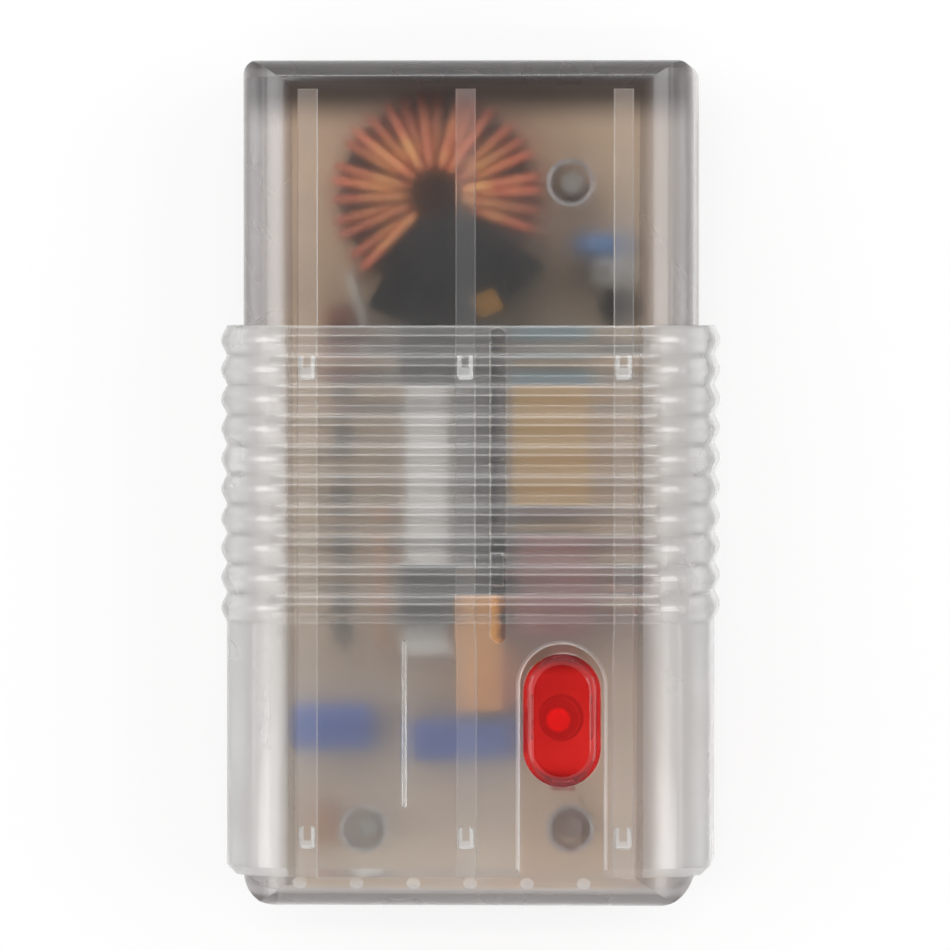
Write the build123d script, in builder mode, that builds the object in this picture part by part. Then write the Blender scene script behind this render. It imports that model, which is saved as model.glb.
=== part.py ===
from build123d import *
import math
import os

# Electronic transformer for low-voltage lamps, with a sliding sleeve as its foot dimmer.
# A closed two-part case of clear smoky plastic shows the circuit board, the ring transformer and
# the slide potentiometer. The ribbed sleeve clips over the case and runs along it.
# Frame: origin on the floor below the middle of the case, X across the case,
# Y along it towards the ring transformer, Z up. All sizes are in millimetres.

os.makedirs("parts", exist_ok=True)

# Case
case_width = 56.2
case_height = 26.0
case_wall = 2.0
shoulder_radius = 7.0
end_radius = 3.6
inner_end_radius = 1.0
far_corner_radius = 2.1
near_corner_radius = 4.5
least_inner_radius = 0.5
parting_height = 15.0
floor_thickness = 2.0
tongue_height = 1.5
tongue_thickness = 0.85
joint_gap = 0.15

# Cable inlets in the end walls
inlet_radius = 3.2
inlet_height = 10.6
mains_inlet_x = 0.0
lamp_outlet_x = 19.5

# Runs for the sleeve: grooves in the case sides and rails on its top
groove_bottom = 1.6
groove_height = 2.1
groove_back_wall = 2.0
rail_width = 2.5
rail_height = 0.35
rail_inset = 1.5

# Stiffening rib under the cover
rib_wall_thickness = 0.8
rib_wall_depth = 3.5
rib_wall_length = 20.6

# Sleeve
sleeve_length = 68.3
sleeve_wall = 1.7
sleeve_side_gap = 0.35
sleeve_top_gap = 0.9
sleeve_end_chamfer = 1.1
sleeve_inset = 3.8
sleeve_travel = 26.0
slide_gap = 0.3
lip_reach = 1.0
rib_count = 10
rib_pitch = 3.7
rib_height = 0.7
rib_flank_angle = 52.0
pip_length = 2.8
pip_width = 2.0
pip_height = 0.4
far_pip_distance = 5.0
near_pip_distance = 4.9

# Dimmer slot, arm and slide potentiometer
slot_x = 4.0
slot_width = 2.0
slot_far_run = 1.0
slot_near_run = 7.0
arm_width = 3.3
arm_length = 4.4
arm_blade_thickness = 1.3
arm_blade_length = 3.8
arm_hold = 1.0
arm_top_gap = 0.6
arm_fit = 0.1
potentiometer_x = 2.4
potentiometer_width = 5.2
potentiometer_height = 6.5
potentiometer_wall = 0.6
carriage_length = 4.4
carriage_width = 3.2
carriage_height = 2.4
carriage_gap = 0.7
wiper_thickness = 1.0
wiper_length = 3.0
wiper_grip = 3.0

# Pilot lens and lamp
lens_x = 12.0
lens_width = 9.6
lens_length = 16.5
lens_proud = 2.8
lens_step = 2.4
lens_bevel_width = 1.3
lens_bevel_height = 1.0
lens_wall = 1.2
lens_tab = 0.6
lens_tab_width = 3.0
lens_tab_thickness = 1.2
lens_fit = 0.1
notch_gap = 0.4
notch_arch_gap = 1.2
lamp_offset = -0.5
lamp_radius = 2.5
lamp_rim_radius = 2.9
lamp_rim_thickness = 1.0
lamp_height = 8.6
lamp_clear = 1.2
lamp_crown = 1.1
lamp_lead_pitch = 2.54
lamp_lead_size = 0.5

# Number of flat sides of small round parts and of ring cores
small_sides = 12
ring_sides = 24

# Circuit board
board_thickness = 1.6
board_seat = 5.5
board_gap = 0.4
board_corner = 1.5
ledge = 1.3
part_gap = 0.5

# Screws and the bosses they hold
boss_radius = 2.5
boss_x = 12.9
near_boss_inset = 7.6
far_boss_offset = 1.5
screw_radius = 1.3
screw_length = 13.0
screw_head_radius = 2.8
screw_head_height = 2.2
screw_recess = 0.7
screw_bore_gap = 0.05
screw_hole_gap = 0.35
cross_length = 3.2
cross_width = 0.7
cross_depth = 1.1
boss_bore_spare = 2.0
post_width = 9.0

# Ring transformer
toroid_x = -4.1
toroid_end_gap = 1.4
core_outer_radius = 12.0
core_inner_radius = 5.6
wire_size = 1.15
wire_gap = 0.15
turn_count = 24
turn_first_angle = -20.0
turn_pitch = 10.7
shroud_radius = 16.2
shroud_bore_radius = 3.0
shroud_top_wall = 1.2
shroud_head_room = 2.4
shroud_turn_gap = 12.0
sector_sides = 8
primary_thickness = 0.7
primary_clear = 0.1

# Heat sink with two power transistors
sink_gap = 1.9
sink_width = 5.9
sink_length = 40.0
sink_sheet = 1.4
sink_bend_radius = 0.9
transistor_width = 6.8
transistor_length = 6.6
transistor_thickness = 3.2
transistor_chamfer = 0.5
transistor_head_room = 2.3
near_transistor_distance = 3.9
lead_pitch = 2.0
lead_width = 0.7
lead_thickness = 0.5
lead_reach = 1.3

# Film capacitors: width across X, length along Y, height above the board
capacitor_chamfer = 0.5
resonance_width = 9.8
resonance_length = 16.7
resonance_height = 13.5
coupling_width = 9.8
coupling_length = 4.2
coupling_height = 11.0
coupling_start = 1.5
smoothing_width = 10.5
smoothing_length = 12.0
smoothing_height = 12.5
smoothing_step = 2.8
snubber_width = 5.5
snubber_length = 14.0
snubber_height = 13.5
bridge_width = 13.6
bridge_length = 5.8
bridge_height = 11.5
bridge_x = -1.0
mains_width = 10.7
mains_length = 6.4
mains_height = 11.5
mains_x = -17.2
mains_step = 1.4

# Small parts on the board
disc_radius = 4.2
disc_thickness = 2.8
disc_x = 16.3
timing_radius = 2.6
timing_height = 9.0
timing_x = 18.6
timing_crown = 0.4
terminal_width = 4.8
terminal_length = 3.0
terminal_height = 8.0
terminal_x = 18.0
terminal_hole_width = 1.5
terminal_hole_pitch = 2.3
column_x = -16.0
diode_count = 4
diode_radius = 1.35
diode_length = 5.2
diode_clear = 6.0
resistor_radius = 1.15
resistor_length = 6.2
resistor_spacing = 6.0
resistor_offset = 4.2
axial_sides = 8
axial_lead = 0.6
axial_lead_run = 1.2
axial_clear = 0.8
driver_radius = 4.5
driver_hole_radius = 2.5
driver_width = 3.4
driver_wire = 0.6
driver_wire_gap = 0.1
driver_turns = 6
driver_inset = 2.1
choke_radius = 3.4
choke_height = 9.5
choke_core_radius = 2.0
choke_end = 1.0
fuse_radius = 1.6
fuse_length = 4.6
fuse_x = -18.8

# Length of the case: ring transformer, potentiometer, capacitors and room for the mains lead
wiring_room = 15.8
winding_radius = core_outer_radius + wire_gap + wire_size
potentiometer_length = sleeve_travel + carriage_length + 2 * (potentiometer_wall + carriage_gap)
ring_room = toroid_end_gap + winding_radius + shroud_radius + part_gap
middle_room = potentiometer_length + part_gap + snubber_length + part_gap + bridge_length
inner_length = ring_room + middle_room + wiring_room
case_length = inner_length + 2 * case_wall

# Places along the case, from the far end wall to the near one
far_wall = case_length / 2 - case_wall
near_wall = -far_wall
toroid_y = far_wall - toroid_end_gap - winding_radius
middle_far = toroid_y - shroud_radius - part_gap
potentiometer_near = middle_far - potentiometer_length
arm_y = potentiometer_near + potentiometer_wall + carriage_gap + carriage_length / 2
snubber_far = potentiometer_near - part_gap
bridge_y = snubber_far - snubber_length - part_gap - bridge_length / 2
mains_y = bridge_y - bridge_length / 2 + mains_step + mains_length / 2
coupling_y = middle_far - coupling_start - coupling_length / 2
resonance_y = coupling_y - coupling_length / 2 - part_gap - resonance_length / 2
smoothing_y = resonance_y - resonance_length / 2 - smoothing_step - smoothing_length / 2
lens_y = smoothing_y - smoothing_length / 2 - lens_step - lens_length / 2
sleeve_near = -case_length / 2 + sleeve_inset
sleeve_far = sleeve_near + sleeve_length
boss_places = [
    (boss_x, toroid_y + far_boss_offset),
    (-boss_x, near_wall + near_boss_inset),
    (boss_x, near_wall + near_boss_inset),
]

# Places across the case
flat_half_width = case_width / 2 - shoulder_radius
rail_spacing = flat_half_width - rail_inset
right_row = potentiometer_x + potentiometer_width / 2 + part_gap
sink_x = potentiometer_x - potentiometer_width / 2 - sink_gap - sink_width / 2
snubber_x = sink_x + sink_width / 2 + part_gap + snubber_width / 2

# Heights above the board: the heat sink and the ring leave head room under the cover
board_top = board_seat + board_thickness
cover_inside = case_height - case_wall
sink_top = cover_inside - transistor_head_room - transistor_thickness
sink_height = sink_top - board_top
core_clear = wire_gap + primary_clear
core_bottom = board_top + 2 * wire_size + 2 * wire_gap
core_top = cover_inside - shroud_head_room - shroud_top_wall - wire_gap - primary_thickness - core_clear
core_height = core_top - core_bottom


# Outline of the case seen from above, moved inwards by inset
def plan_outline(inset, height):
    with BuildSketch(Plane.XY.offset(height)) as plan:
        Rectangle(case_width - 2 * inset, case_length - 2 * inset)
        far_radius = max(far_corner_radius - inset, least_inner_radius)
        near_radius = max(near_corner_radius - inset, least_inner_radius)
        fillet(plan.vertices().group_by(Axis.Y)[-1], radius=far_radius)
        fillet(plan.vertices().group_by(Axis.Y)[0], radius=near_radius)
    return plan.sketch


# Rounded block of the case, moved inwards by inset, from the given height up
def case_block(inset, bottom, end_round):
    width = case_width - 2 * inset
    length = case_length - 2 * inset
    height = case_height - inset - bottom
    middle = bottom + height / 2
    with BuildPart() as block:
        with BuildSketch(Plane.XZ) as across:
            with Locations((0, middle)):
                Rectangle(width, height)
            fillet(across.vertices().group_by(Axis.Y)[-1], radius=shoulder_radius - inset)
        extrude(amount=length / 2, both=True)
        with BuildSketch(Plane.YZ) as along:
            with Locations((0, middle)):
                Rectangle(length, height)
            fillet(along.vertices().group_by(Axis.Y)[-1], radius=end_round)
        extrude(amount=width / 2, both=True, mode=Mode.INTERSECT)
        extrude(plan_outline(inset, bottom), amount=height, mode=Mode.INTERSECT)
    return block.part


# Base: a tray with sleeve grooves, a ledge for the board, screw posts and cable inlets
lower_wall = groove_back_wall + lip_reach + slide_gap
groove_near = sleeve_near - slide_gap
groove_length = sleeve_length + sleeve_travel + 2 * slide_gap
with BuildPart() as base_shell:
    extrude(plan_outline(0, 0), amount=parting_height)
    extrude(plan_outline(case_wall, board_seat), amount=parting_height, mode=Mode.SUBTRACT)
    with BuildSketch(Plane.XY.offset(floor_thickness)):
        Rectangle(case_width - 2 * lower_wall, inner_length - 2 * ledge)
    extrude(amount=board_seat, mode=Mode.SUBTRACT)
    extrude(plan_outline(case_wall - tongue_thickness, parting_height), amount=tongue_height)
    extrude(plan_outline(case_wall, parting_height), amount=tongue_height, mode=Mode.SUBTRACT)
    with BuildSketch(Plane.XY.offset(groove_bottom)):
        with Locations((0, groove_near + groove_length / 2)):
            with GridLocations(case_width, 0, 2, 1):
                Rectangle(2 * (lip_reach + slide_gap), groove_length)
    extrude(amount=groove_height, mode=Mode.SUBTRACT)
    with BuildSketch(Plane.XY.offset(floor_thickness)):
        with Locations(*boss_places):
            Rectangle(post_width, post_width)
    extrude(amount=board_seat - floor_thickness)
    with BuildSketch():
        with Locations(*boss_places):
            Circle(screw_head_radius + screw_hole_gap)
    extrude(amount=screw_recess + screw_head_height, mode=Mode.SUBTRACT)
    with BuildSketch():
        with Locations(*boss_places):
            RegularPolygon(screw_radius + screw_hole_gap, small_sides, major_radius=False)
    extrude(amount=board_seat, mode=Mode.SUBTRACT)
    with BuildSketch(Plane.XZ.offset(case_length / 2)):
        with Locations((mains_inlet_x, inlet_height)):
            Circle(inlet_radius)
    extrude(amount=-case_wall, mode=Mode.SUBTRACT)
    with BuildSketch(Plane.XZ.offset(-case_length / 2)):
        with Locations((lamp_outlet_x, inlet_height)):
            Circle(inlet_radius)
    extrude(amount=case_wall, mode=Mode.SUBTRACT)
base_shell.part.label = "base_shell"
export_step(base_shell.part, "parts/base_shell.step")

# Cover: top half of the case with the dimmer slot, the lens window, rails and screw bosses
slot_near = arm_y - arm_length / 2 - slot_near_run
slot_far = arm_y + sleeve_travel + arm_length / 2 + slot_far_run
rib_wall_x = sink_x - sink_width / 2
rib_wall_far = smoothing_y - smoothing_length / 2
rail_length = case_length - 2 * end_radius
with BuildPart() as cover_shell:
    add(case_block(0, parting_height, end_radius))
    add(case_block(case_wall, parting_height, inner_end_radius), mode=Mode.SUBTRACT)
    rebate = case_wall - tongue_thickness - joint_gap
    extrude(
        plan_outline(rebate, parting_height),
        amount=tongue_height + joint_gap,
        mode=Mode.SUBTRACT,
    )
    with BuildSketch(Plane.XY.offset(case_height)):
        with GridLocations(rail_spacing, 0, 3, 1):
            Rectangle(rail_width, rail_length)
    extrude(amount=rail_height)
    with BuildSketch(Plane.XY.offset(board_top)):
        with Locations(*boss_places):
            Circle(boss_radius)
    extrude(amount=case_height - case_wall / 2 - board_top)
    with BuildSketch(Plane.XY.offset(board_top)):
        with Locations(*boss_places):
            RegularPolygon(screw_radius + screw_bore_gap, small_sides, major_radius=False)
    boss_bore = screw_recess + screw_head_height + screw_length + boss_bore_spare - board_top
    extrude(amount=boss_bore, mode=Mode.SUBTRACT)
    with BuildSketch(Plane.XY.offset(cover_inside - rib_wall_depth)):
        with Locations((rib_wall_x, rib_wall_far - rib_wall_length / 2)):
            Rectangle(rib_wall_thickness, rib_wall_length)
    extrude(amount=rib_wall_depth + case_wall / 2)
    with BuildSketch(Plane.XY.offset(cover_inside)):
        with Locations((slot_x, (slot_near + slot_far) / 2)):
            SlotOverall(slot_far - slot_near, slot_width, rotation=90)
        with Locations((lens_x, lens_y)):
            SlotOverall(lens_length + 2 * lens_fit, lens_width + 2 * lens_fit, rotation=90)
    extrude(amount=case_wall + rail_height, mode=Mode.SUBTRACT)
cover_shell.part.label = "cover_shell"
export_step(cover_shell.part, "parts/cover_shell.step")

# Sleeve: its ribbed wall is swept up one side of the case, over the top and down the other
sleeve_inside = case_width / 2 + sleeve_side_gap
sleeve_underside = case_height + sleeve_top_gap
sleeve_shoulder = shoulder_radius + sleeve_side_gap
lip_bottom = groove_bottom + slide_gap
lip_height = groove_height - 2 * slide_gap
notch_width = lens_width + 2 * notch_gap
notch_arch_y = lens_y + lens_length / 2 + notch_arch_gap - notch_width / 2
with BuildPart() as slider_sleeve:
    with BuildLine(Plane.XZ) as wrap:
        FilletPolyline(
            (-sleeve_inside, lip_bottom),
            (-sleeve_inside, sleeve_underside),
            (sleeve_inside, sleeve_underside),
            (sleeve_inside, lip_bottom),
            radius=sleeve_shoulder,
        )
    with BuildSketch(Plane.XY.offset(lip_bottom)) as wall_section:
        with Locations((-sleeve_inside - sleeve_wall / 2, (sleeve_near + sleeve_far) / 2)):
            Rectangle(sleeve_wall, sleeve_length)
        outer_near = wall_section.vertices().group_by(Axis.Y)[0].sort_by(Axis.X)[0]
        chamfer(outer_near, length=sleeve_end_chamfer)
        for rib in range(rib_count):
            with Locations((-sleeve_inside - sleeve_wall, sleeve_far - (rib + 0.5) * rib_pitch)):
                Trapezoid(
                    rib_pitch,
                    rib_height,
                    rib_flank_angle,
                    rotation=90,
                    align=(Align.CENTER, Align.MIN),
                )
    sweep(sections=wall_section.sketch, path=wrap.wires()[0])
    with BuildSketch(Plane.XY.offset(lip_bottom)):
        lip_width = sleeve_side_gap + lip_reach
        with Locations((0, (sleeve_near + sleeve_far) / 2)):
            with GridLocations(2 * sleeve_inside - lip_width, 0, 2, 1):
                Rectangle(lip_width, sleeve_length)
    extrude(amount=lip_height)
    pip_mid_y = (sleeve_far - far_pip_distance + sleeve_near + near_pip_distance) / 2
    pip_rows = sleeve_length - far_pip_distance - near_pip_distance
    with BuildSketch(Plane.XY.offset(sleeve_underside - pip_height)):
        with Locations((0, pip_mid_y)):
            with GridLocations(rail_spacing, pip_rows, 3, 2):
                Rectangle(pip_width, pip_length)
    extrude(amount=pip_height + sleeve_wall / 2)
    with BuildSketch(Plane.XY.offset(sleeve_underside)):
        with Locations((slot_x, arm_y)):
            Rectangle(arm_blade_thickness + 2 * arm_fit, arm_blade_length + 2 * arm_fit)
    extrude(amount=arm_hold + arm_fit, mode=Mode.SUBTRACT)
    with BuildSketch(Plane.XY.offset(cover_inside)):
        with Locations((lens_x, notch_arch_y)):
            Circle(notch_width / 2)
            Rectangle(notch_width, case_length, align=(Align.CENTER, Align.MAX))
    extrude(amount=case_height, mode=Mode.SUBTRACT)
slider_sleeve.part.label = "slider_sleeve"
export_step(slider_sleeve.part, "parts/slider_sleeve.step")

# Dimmer arm: black block on the wiper, with a blade that rises through the slot into the sleeve
arm_bottom = board_top + potentiometer_height + slide_gap
arm_block_top = cover_inside - arm_top_gap
arm_x = slot_x + arm_blade_thickness / 2 + arm_fit - arm_width / 2
with BuildPart() as dimmer_arm:
    with BuildSketch(Plane.XY.offset(arm_bottom)):
        with Locations((arm_x, arm_y)):
            Rectangle(arm_width, arm_length)
    extrude(amount=arm_block_top - arm_bottom)
    with BuildSketch(Plane.XY.offset(arm_block_top)):
        with Locations((slot_x, arm_y)):
            Rectangle(arm_blade_thickness, arm_blade_length)
    extrude(amount=sleeve_underside + arm_hold - arm_block_top)
    with BuildSketch(Plane.XY.offset(arm_bottom)):
        with Locations((potentiometer_x, arm_y)):
            Rectangle(wiper_thickness + 2 * arm_fit, wiper_length + 2 * arm_fit)
    extrude(amount=wiper_grip + arm_fit, mode=Mode.SUBTRACT)
dimmer_arm.part.label = "dimmer_arm"
export_step(dimmer_arm.part, "parts/dimmer_arm.step")

# Slide potentiometer: steel can with a long slot in its top
can_y = potentiometer_near + potentiometer_length / 2
can_slot = potentiometer_length - 2 * potentiometer_wall - carriage_length + wiper_length
with BuildPart() as potentiometer_can:
    with BuildSketch(Plane.XY.offset(board_top)):
        with Locations((potentiometer_x, can_y)):
            Rectangle(potentiometer_width, potentiometer_length)
    extrude(amount=potentiometer_height)
    with BuildSketch(Plane.XY.offset(board_top + potentiometer_wall)):
        with Locations((potentiometer_x, can_y)):
            Rectangle(
                potentiometer_width - 2 * potentiometer_wall,
                potentiometer_length - 2 * potentiometer_wall,
            )
    extrude(amount=potentiometer_height - 2 * potentiometer_wall, mode=Mode.SUBTRACT)
    with BuildSketch(Plane.XY.offset(board_top + potentiometer_height - potentiometer_wall)):
        with Locations((potentiometer_x, can_y)):
            Rectangle(wiper_thickness + 2 * slide_gap, can_slot)
    extrude(amount=potentiometer_wall, mode=Mode.SUBTRACT)
potentiometer_can.part.label = "potentiometer_can"
export_step(potentiometer_can.part, "parts/potentiometer_can.step")

# Wiper of the potentiometer: carriage inside the can and the tab that the arm grips
carriage_top = board_top + potentiometer_height - potentiometer_wall - slide_gap
with BuildPart() as potentiometer_wiper:
    with BuildSketch(Plane.XY.offset(carriage_top - carriage_height)):
        with Locations((potentiometer_x, arm_y)):
            Rectangle(carriage_width, carriage_length)
    extrude(amount=carriage_height)
    with BuildSketch(Plane.XY.offset(carriage_top)):
        with Locations((potentiometer_x, arm_y)):
            Rectangle(wiper_thickness, wiper_length)
    extrude(amount=arm_bottom + wiper_grip - carriage_top)
potentiometer_wiper.part.label = "potentiometer_wiper"
export_step(potentiometer_wiper.part, "parts/potentiometer_wiper.step")

# Pilot lens: red, hollow, with a bevelled top and a tab at each end that holds it under the cover
lens_top = case_height + lens_proud
lens_bottom = cover_inside - lens_tab_thickness
with BuildPart() as pilot_lens:
    with BuildSketch(Plane.XY.offset(lens_bottom)):
        with Locations((lens_x, lens_y)):
            SlotOverall(lens_length, lens_width, rotation=90)
    extrude(amount=lens_top - lens_bottom)
    top_edges = pilot_lens.faces().sort_by(Axis.Z)[-1].edges()
    top_face = pilot_lens.faces().sort_by(Axis.Z)[-1]
    chamfer(top_edges, length=lens_bevel_width, length2=lens_bevel_height, reference=top_face)
    with BuildSketch(Plane.XY.offset(lens_bottom)):
        with Locations((lens_x, lens_y)):
            Rectangle(lens_tab_width, lens_length + 2 * lens_tab)
    extrude(amount=lens_tab_thickness)
    with BuildSketch(Plane.XY.offset(lens_bottom)):
        with Locations((lens_x, lens_y)):
            Rectangle(lens_width - 2 * lens_wall, lens_length - lens_width)
    extrude(amount=lens_top - lens_bevel_height - lens_wall / 2 - lens_bottom, mode=Mode.SUBTRACT)
pilot_lens.part.label = "pilot_lens"
export_step(pilot_lens.part, "parts/pilot_lens.step")

# Pilot lamp: round light-emitting diode under the lens
lamp_x = lens_x + lamp_offset
lamp_top = lens_top - lens_bevel_height - lens_wall / 2 - lamp_clear
lamp_bottom = lamp_top - lamp_height
with BuildPart() as pilot_lamp:
    with BuildSketch(Plane.XY.offset(lamp_bottom)):
        with Locations((lamp_x, lens_y)):
            RegularPolygon(lamp_rim_radius, small_sides, major_radius=False)
    extrude(amount=lamp_rim_thickness)
    with BuildSketch(Plane.XY.offset(lamp_bottom)):
        with Locations((lamp_x, lens_y)):
            RegularPolygon(lamp_radius, small_sides, major_radius=False)
    extrude(amount=lamp_height)
    dome_edge = pilot_lamp.faces().sort_by(Axis.Z)[-1].edges()
    chamfer(dome_edge, length=lamp_crown)
pilot_lamp.part.label = "pilot_lamp"
export_step(pilot_lamp.part, "parts/pilot_lamp.step")

# Two legs that stand the lamp on the board
with BuildPart() as pilot_lamp_legs:
    with BuildSketch(Plane.XY.offset(board_top)):
        with Locations((lamp_x, lens_y)):
            with GridLocations(lamp_lead_pitch, 0, 2, 1):
                Rectangle(lamp_lead_size, lamp_lead_size)
    extrude(amount=lamp_bottom - board_top)
pilot_lamp_legs.part.label = "pilot_lamp_legs"
export_step(pilot_lamp_legs.part, "parts/pilot_lamp_legs.step")

# Circuit board on the ledge of the base, held by the three screws
with BuildPart() as circuit_board:
    board_inset = case_wall + board_gap
    with BuildSketch(Plane.XY.offset(board_seat)) as board_plan:
        Rectangle(case_width - 2 * board_inset, case_length - 2 * board_inset)
        chamfer(board_plan.vertices(), length=board_corner)
        with Locations(*boss_places):
            RegularPolygon(
                screw_radius + screw_hole_gap,
                small_sides,
                major_radius=False,
                mode=Mode.SUBTRACT,
            )
    extrude(amount=board_thickness)
circuit_board.part.label = "circuit_board"
export_step(circuit_board.part, "parts/circuit_board.step")


# One case screw, standing head down at the origin
def case_screw():
    with BuildPart() as screw:
        with BuildSketch():
            Circle(screw_head_radius)
        extrude(amount=screw_head_height)
        with BuildSketch(Plane.XY.offset(screw_head_height)):
            RegularPolygon(screw_radius, small_sides, major_radius=False)
        extrude(amount=screw_length)
        with BuildSketch():
            Rectangle(cross_length, cross_width)
            Rectangle(cross_width, cross_length)
        extrude(amount=cross_depth, mode=Mode.SUBTRACT)
    return screw.part


# Three screws, driven from below through the base and the board into the cover
with BuildPart() as case_screws:
    with Locations(*[(x, y, screw_recess) for x, y in boss_places]):
        add(case_screw())
case_screws.part.label = "case_screws"
export_step(case_screws.part, "parts/case_screws.step")

# Ring transformer: ferrite core, held clear of the board by its lowest turns
with BuildPart() as toroid_core:
    with BuildSketch(Plane.XY.offset(core_bottom)):
        with Locations((toroid_x, toroid_y)):
            RegularPolygon(core_outer_radius, ring_sides)
            RegularPolygon(core_inner_radius, ring_sides, major_radius=False, mode=Mode.SUBTRACT)
    extrude(amount=core_height)
toroid_core.part.label = "toroid_core"
export_step(toroid_core.part, "parts/toroid_core.step")


# One turn of copper wire round the core, rising by one wire towards the bore in the second layer
def wire_turn(layer):
    outer_leg = core_outer_radius + wire_gap + wire_size / 2
    inner_leg = core_inner_radius - wire_gap - wire_size / 2 - layer * wire_size
    top = core_top + wire_gap + wire_size / 2
    bottom = core_bottom - wire_gap - wire_size / 2
    rise = layer * wire_size
    middle = (top + bottom) / 2
    with BuildPart() as turn:
        with BuildLine(Plane.XZ) as loop:
            Polyline(
                (outer_leg, middle),
                (outer_leg, top),
                (inner_leg, top + rise),
                (inner_leg, bottom - rise),
                (outer_leg, bottom),
                close=True,
            )
        with BuildSketch(Plane.XY.offset(middle)) as wire:
            with Locations((outer_leg, 0)):
                RegularPolygon(wire_size / 2, 6)
        sweep(sections=wire.sketch, path=loop.wires()[0], transition=Transition.RIGHT)
    return turn.part


# Copper winding: turns of the first and the second layer take turns round the core
with BuildPart() as toroid_winding:
    for layer in range(2):
        with Locations((toroid_x, toroid_y)):
            with PolarLocations(
                0,
                turn_count // 2,
                start_angle=turn_first_angle + layer * turn_pitch,
                angular_range=turn_count * turn_pitch,
            ):
                add(wire_turn(layer))
toroid_winding.part.label = "toroid_winding"
export_step(toroid_winding.part, "parts/toroid_winding.step")

# Sector that the copper turns leave free, for the primary winding and its black shroud
sector_start = turn_first_angle + (turn_count - 1) * turn_pitch + shroud_turn_gap
sector_step = (360 + turn_first_angle - shroud_turn_gap - sector_start) / sector_sides


# Piece of a flat-sided ring in that sector, between two radii, at the given height
def ring_sector(inner, outer, height):
    angles = [math.radians(sector_start + side * sector_step) for side in range(sector_sides + 1)]
    inside = [(inner * math.cos(angle), inner * math.sin(angle)) for angle in angles]
    outside = [(outer * math.cos(angle), outer * math.sin(angle)) for angle in reversed(angles)]
    with BuildSketch(Plane((toroid_x, toroid_y, height))) as sector:
        with BuildLine():
            Polyline(*inside, *outside, close=True)
        make_face()
    return sector.sketch


# Primary winding: fine enamelled wire wound flat round the free part of the core
primary_inner = core_inner_radius - core_clear - primary_thickness
primary_outer = core_outer_radius + core_clear + primary_thickness
primary_bottom = core_bottom - core_clear - primary_thickness
primary_height = core_height + 2 * (core_clear + primary_thickness)
with BuildPart() as primary_winding:
    extrude(ring_sector(primary_inner, primary_outer, primary_bottom), amount=primary_height)
    extrude(
        ring_sector(
            core_inner_radius - core_clear,
            core_outer_radius + core_clear,
            core_bottom - core_clear,
        ),
        amount=core_height + 2 * core_clear,
        mode=Mode.SUBTRACT,
    )
primary_winding.part.label = "primary_winding"
export_step(primary_winding.part, "parts/primary_winding.step")

# Shroud: black wedge that stands on the board and insulates the primary winding
shroud_cavity = primary_bottom + primary_height + wire_gap - board_top
with BuildPart() as toroid_shroud:
    extrude(
        ring_sector(shroud_bore_radius, shroud_radius, board_top),
        amount=shroud_cavity + shroud_top_wall,
    )
    extrude(
        ring_sector(primary_inner - wire_gap, primary_outer + wire_gap, board_top),
        amount=shroud_cavity,
        mode=Mode.SUBTRACT,
    )
toroid_shroud.part.label = "toroid_shroud"
export_step(toroid_shroud.part, "parts/toroid_shroud.step")

# Heat sink: bent aluminium channel standing on the board
sink_far = middle_far
sink_near = sink_far - sink_length
with BuildPart() as heat_sink:
    with BuildSketch(Plane.XZ.offset(-sink_far)) as channel:
        with Locations((sink_x, board_top)):
            Rectangle(sink_width, sink_height, align=(Align.CENTER, Align.MIN))
        fillet(channel.vertices().group_by(Axis.Y)[-1], radius=sink_bend_radius)
        with Locations((sink_x, board_top)):
            Rectangle(
                sink_width - 2 * sink_sheet,
                sink_height - sink_sheet,
                align=(Align.CENTER, Align.MIN),
                mode=Mode.SUBTRACT,
            )
    extrude(amount=sink_length)
heat_sink.part.label = "heat_sink"
export_step(heat_sink.part, "parts/heat_sink.step")

# Two power transistors lie on the heat sink, one near each end
transistor_rows = [
    sink_far - transistor_length / 2,
    sink_near + near_transistor_distance + transistor_length / 2,
]
with BuildPart() as power_transistors:
    with BuildSketch(Plane.XY.offset(sink_top)):
        with Locations(*[(sink_x, row) for row in transistor_rows]):
            Rectangle(transistor_width, transistor_length)
    extrude(amount=transistor_thickness)
    chamfer(power_transistors.edges().group_by(Axis.Z)[-1], length=transistor_chamfer)
power_transistors.part.label = "power_transistors"
export_step(power_transistors.part, "parts/power_transistors.step")

# Transistor leads: three flat legs each, bent down to the board beside the heat sink
lead_height = sink_top + transistor_thickness / 3
lead_start = sink_x - transistor_width / 2
lead_rows = [row + step * lead_pitch for row in transistor_rows for step in (-1, 0, 1)]
with BuildPart() as transistor_leads:
    for lead_y in lead_rows:
        with BuildSketch(Plane.XZ.offset(-lead_y)):
            with Locations((lead_start, lead_height)):
                Rectangle(lead_reach, lead_thickness, align=(Align.MAX, Align.CENTER))
            with Locations((lead_start - lead_reach, board_top)):
                Rectangle(
                    lead_thickness,
                    lead_height + lead_thickness / 2 - board_top,
                    align=(Align.MIN, Align.MIN),
                )
        extrude(amount=lead_width / 2, both=True)
transistor_leads.part.label = "transistor_leads"
export_step(transistor_leads.part, "parts/transistor_leads.step")


# Film capacitor in a box or a dip of resin, standing on the board
def film_capacitor(x, y, width, length, height):
    with BuildPart() as capacitor:
        with BuildSketch(Plane.XY.offset(board_top)) as plan:
            with Locations((x, y)):
                Rectangle(width, length)
            chamfer(plan.vertices(), length=capacitor_chamfer)
        extrude(amount=height)
        chamfer(capacitor.edges().group_by(Axis.Z)[-1], length=capacitor_chamfer)
    return capacitor


# Large yellow capacitor beside the potentiometer
resonance_capacitor = film_capacitor(
    right_row + resonance_width / 2,
    resonance_y,
    resonance_width,
    resonance_length,
    resonance_height,
)
resonance_capacitor.part.label = "resonance_capacitor"
export_step(resonance_capacitor.part, "parts/resonance_capacitor.step")

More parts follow.
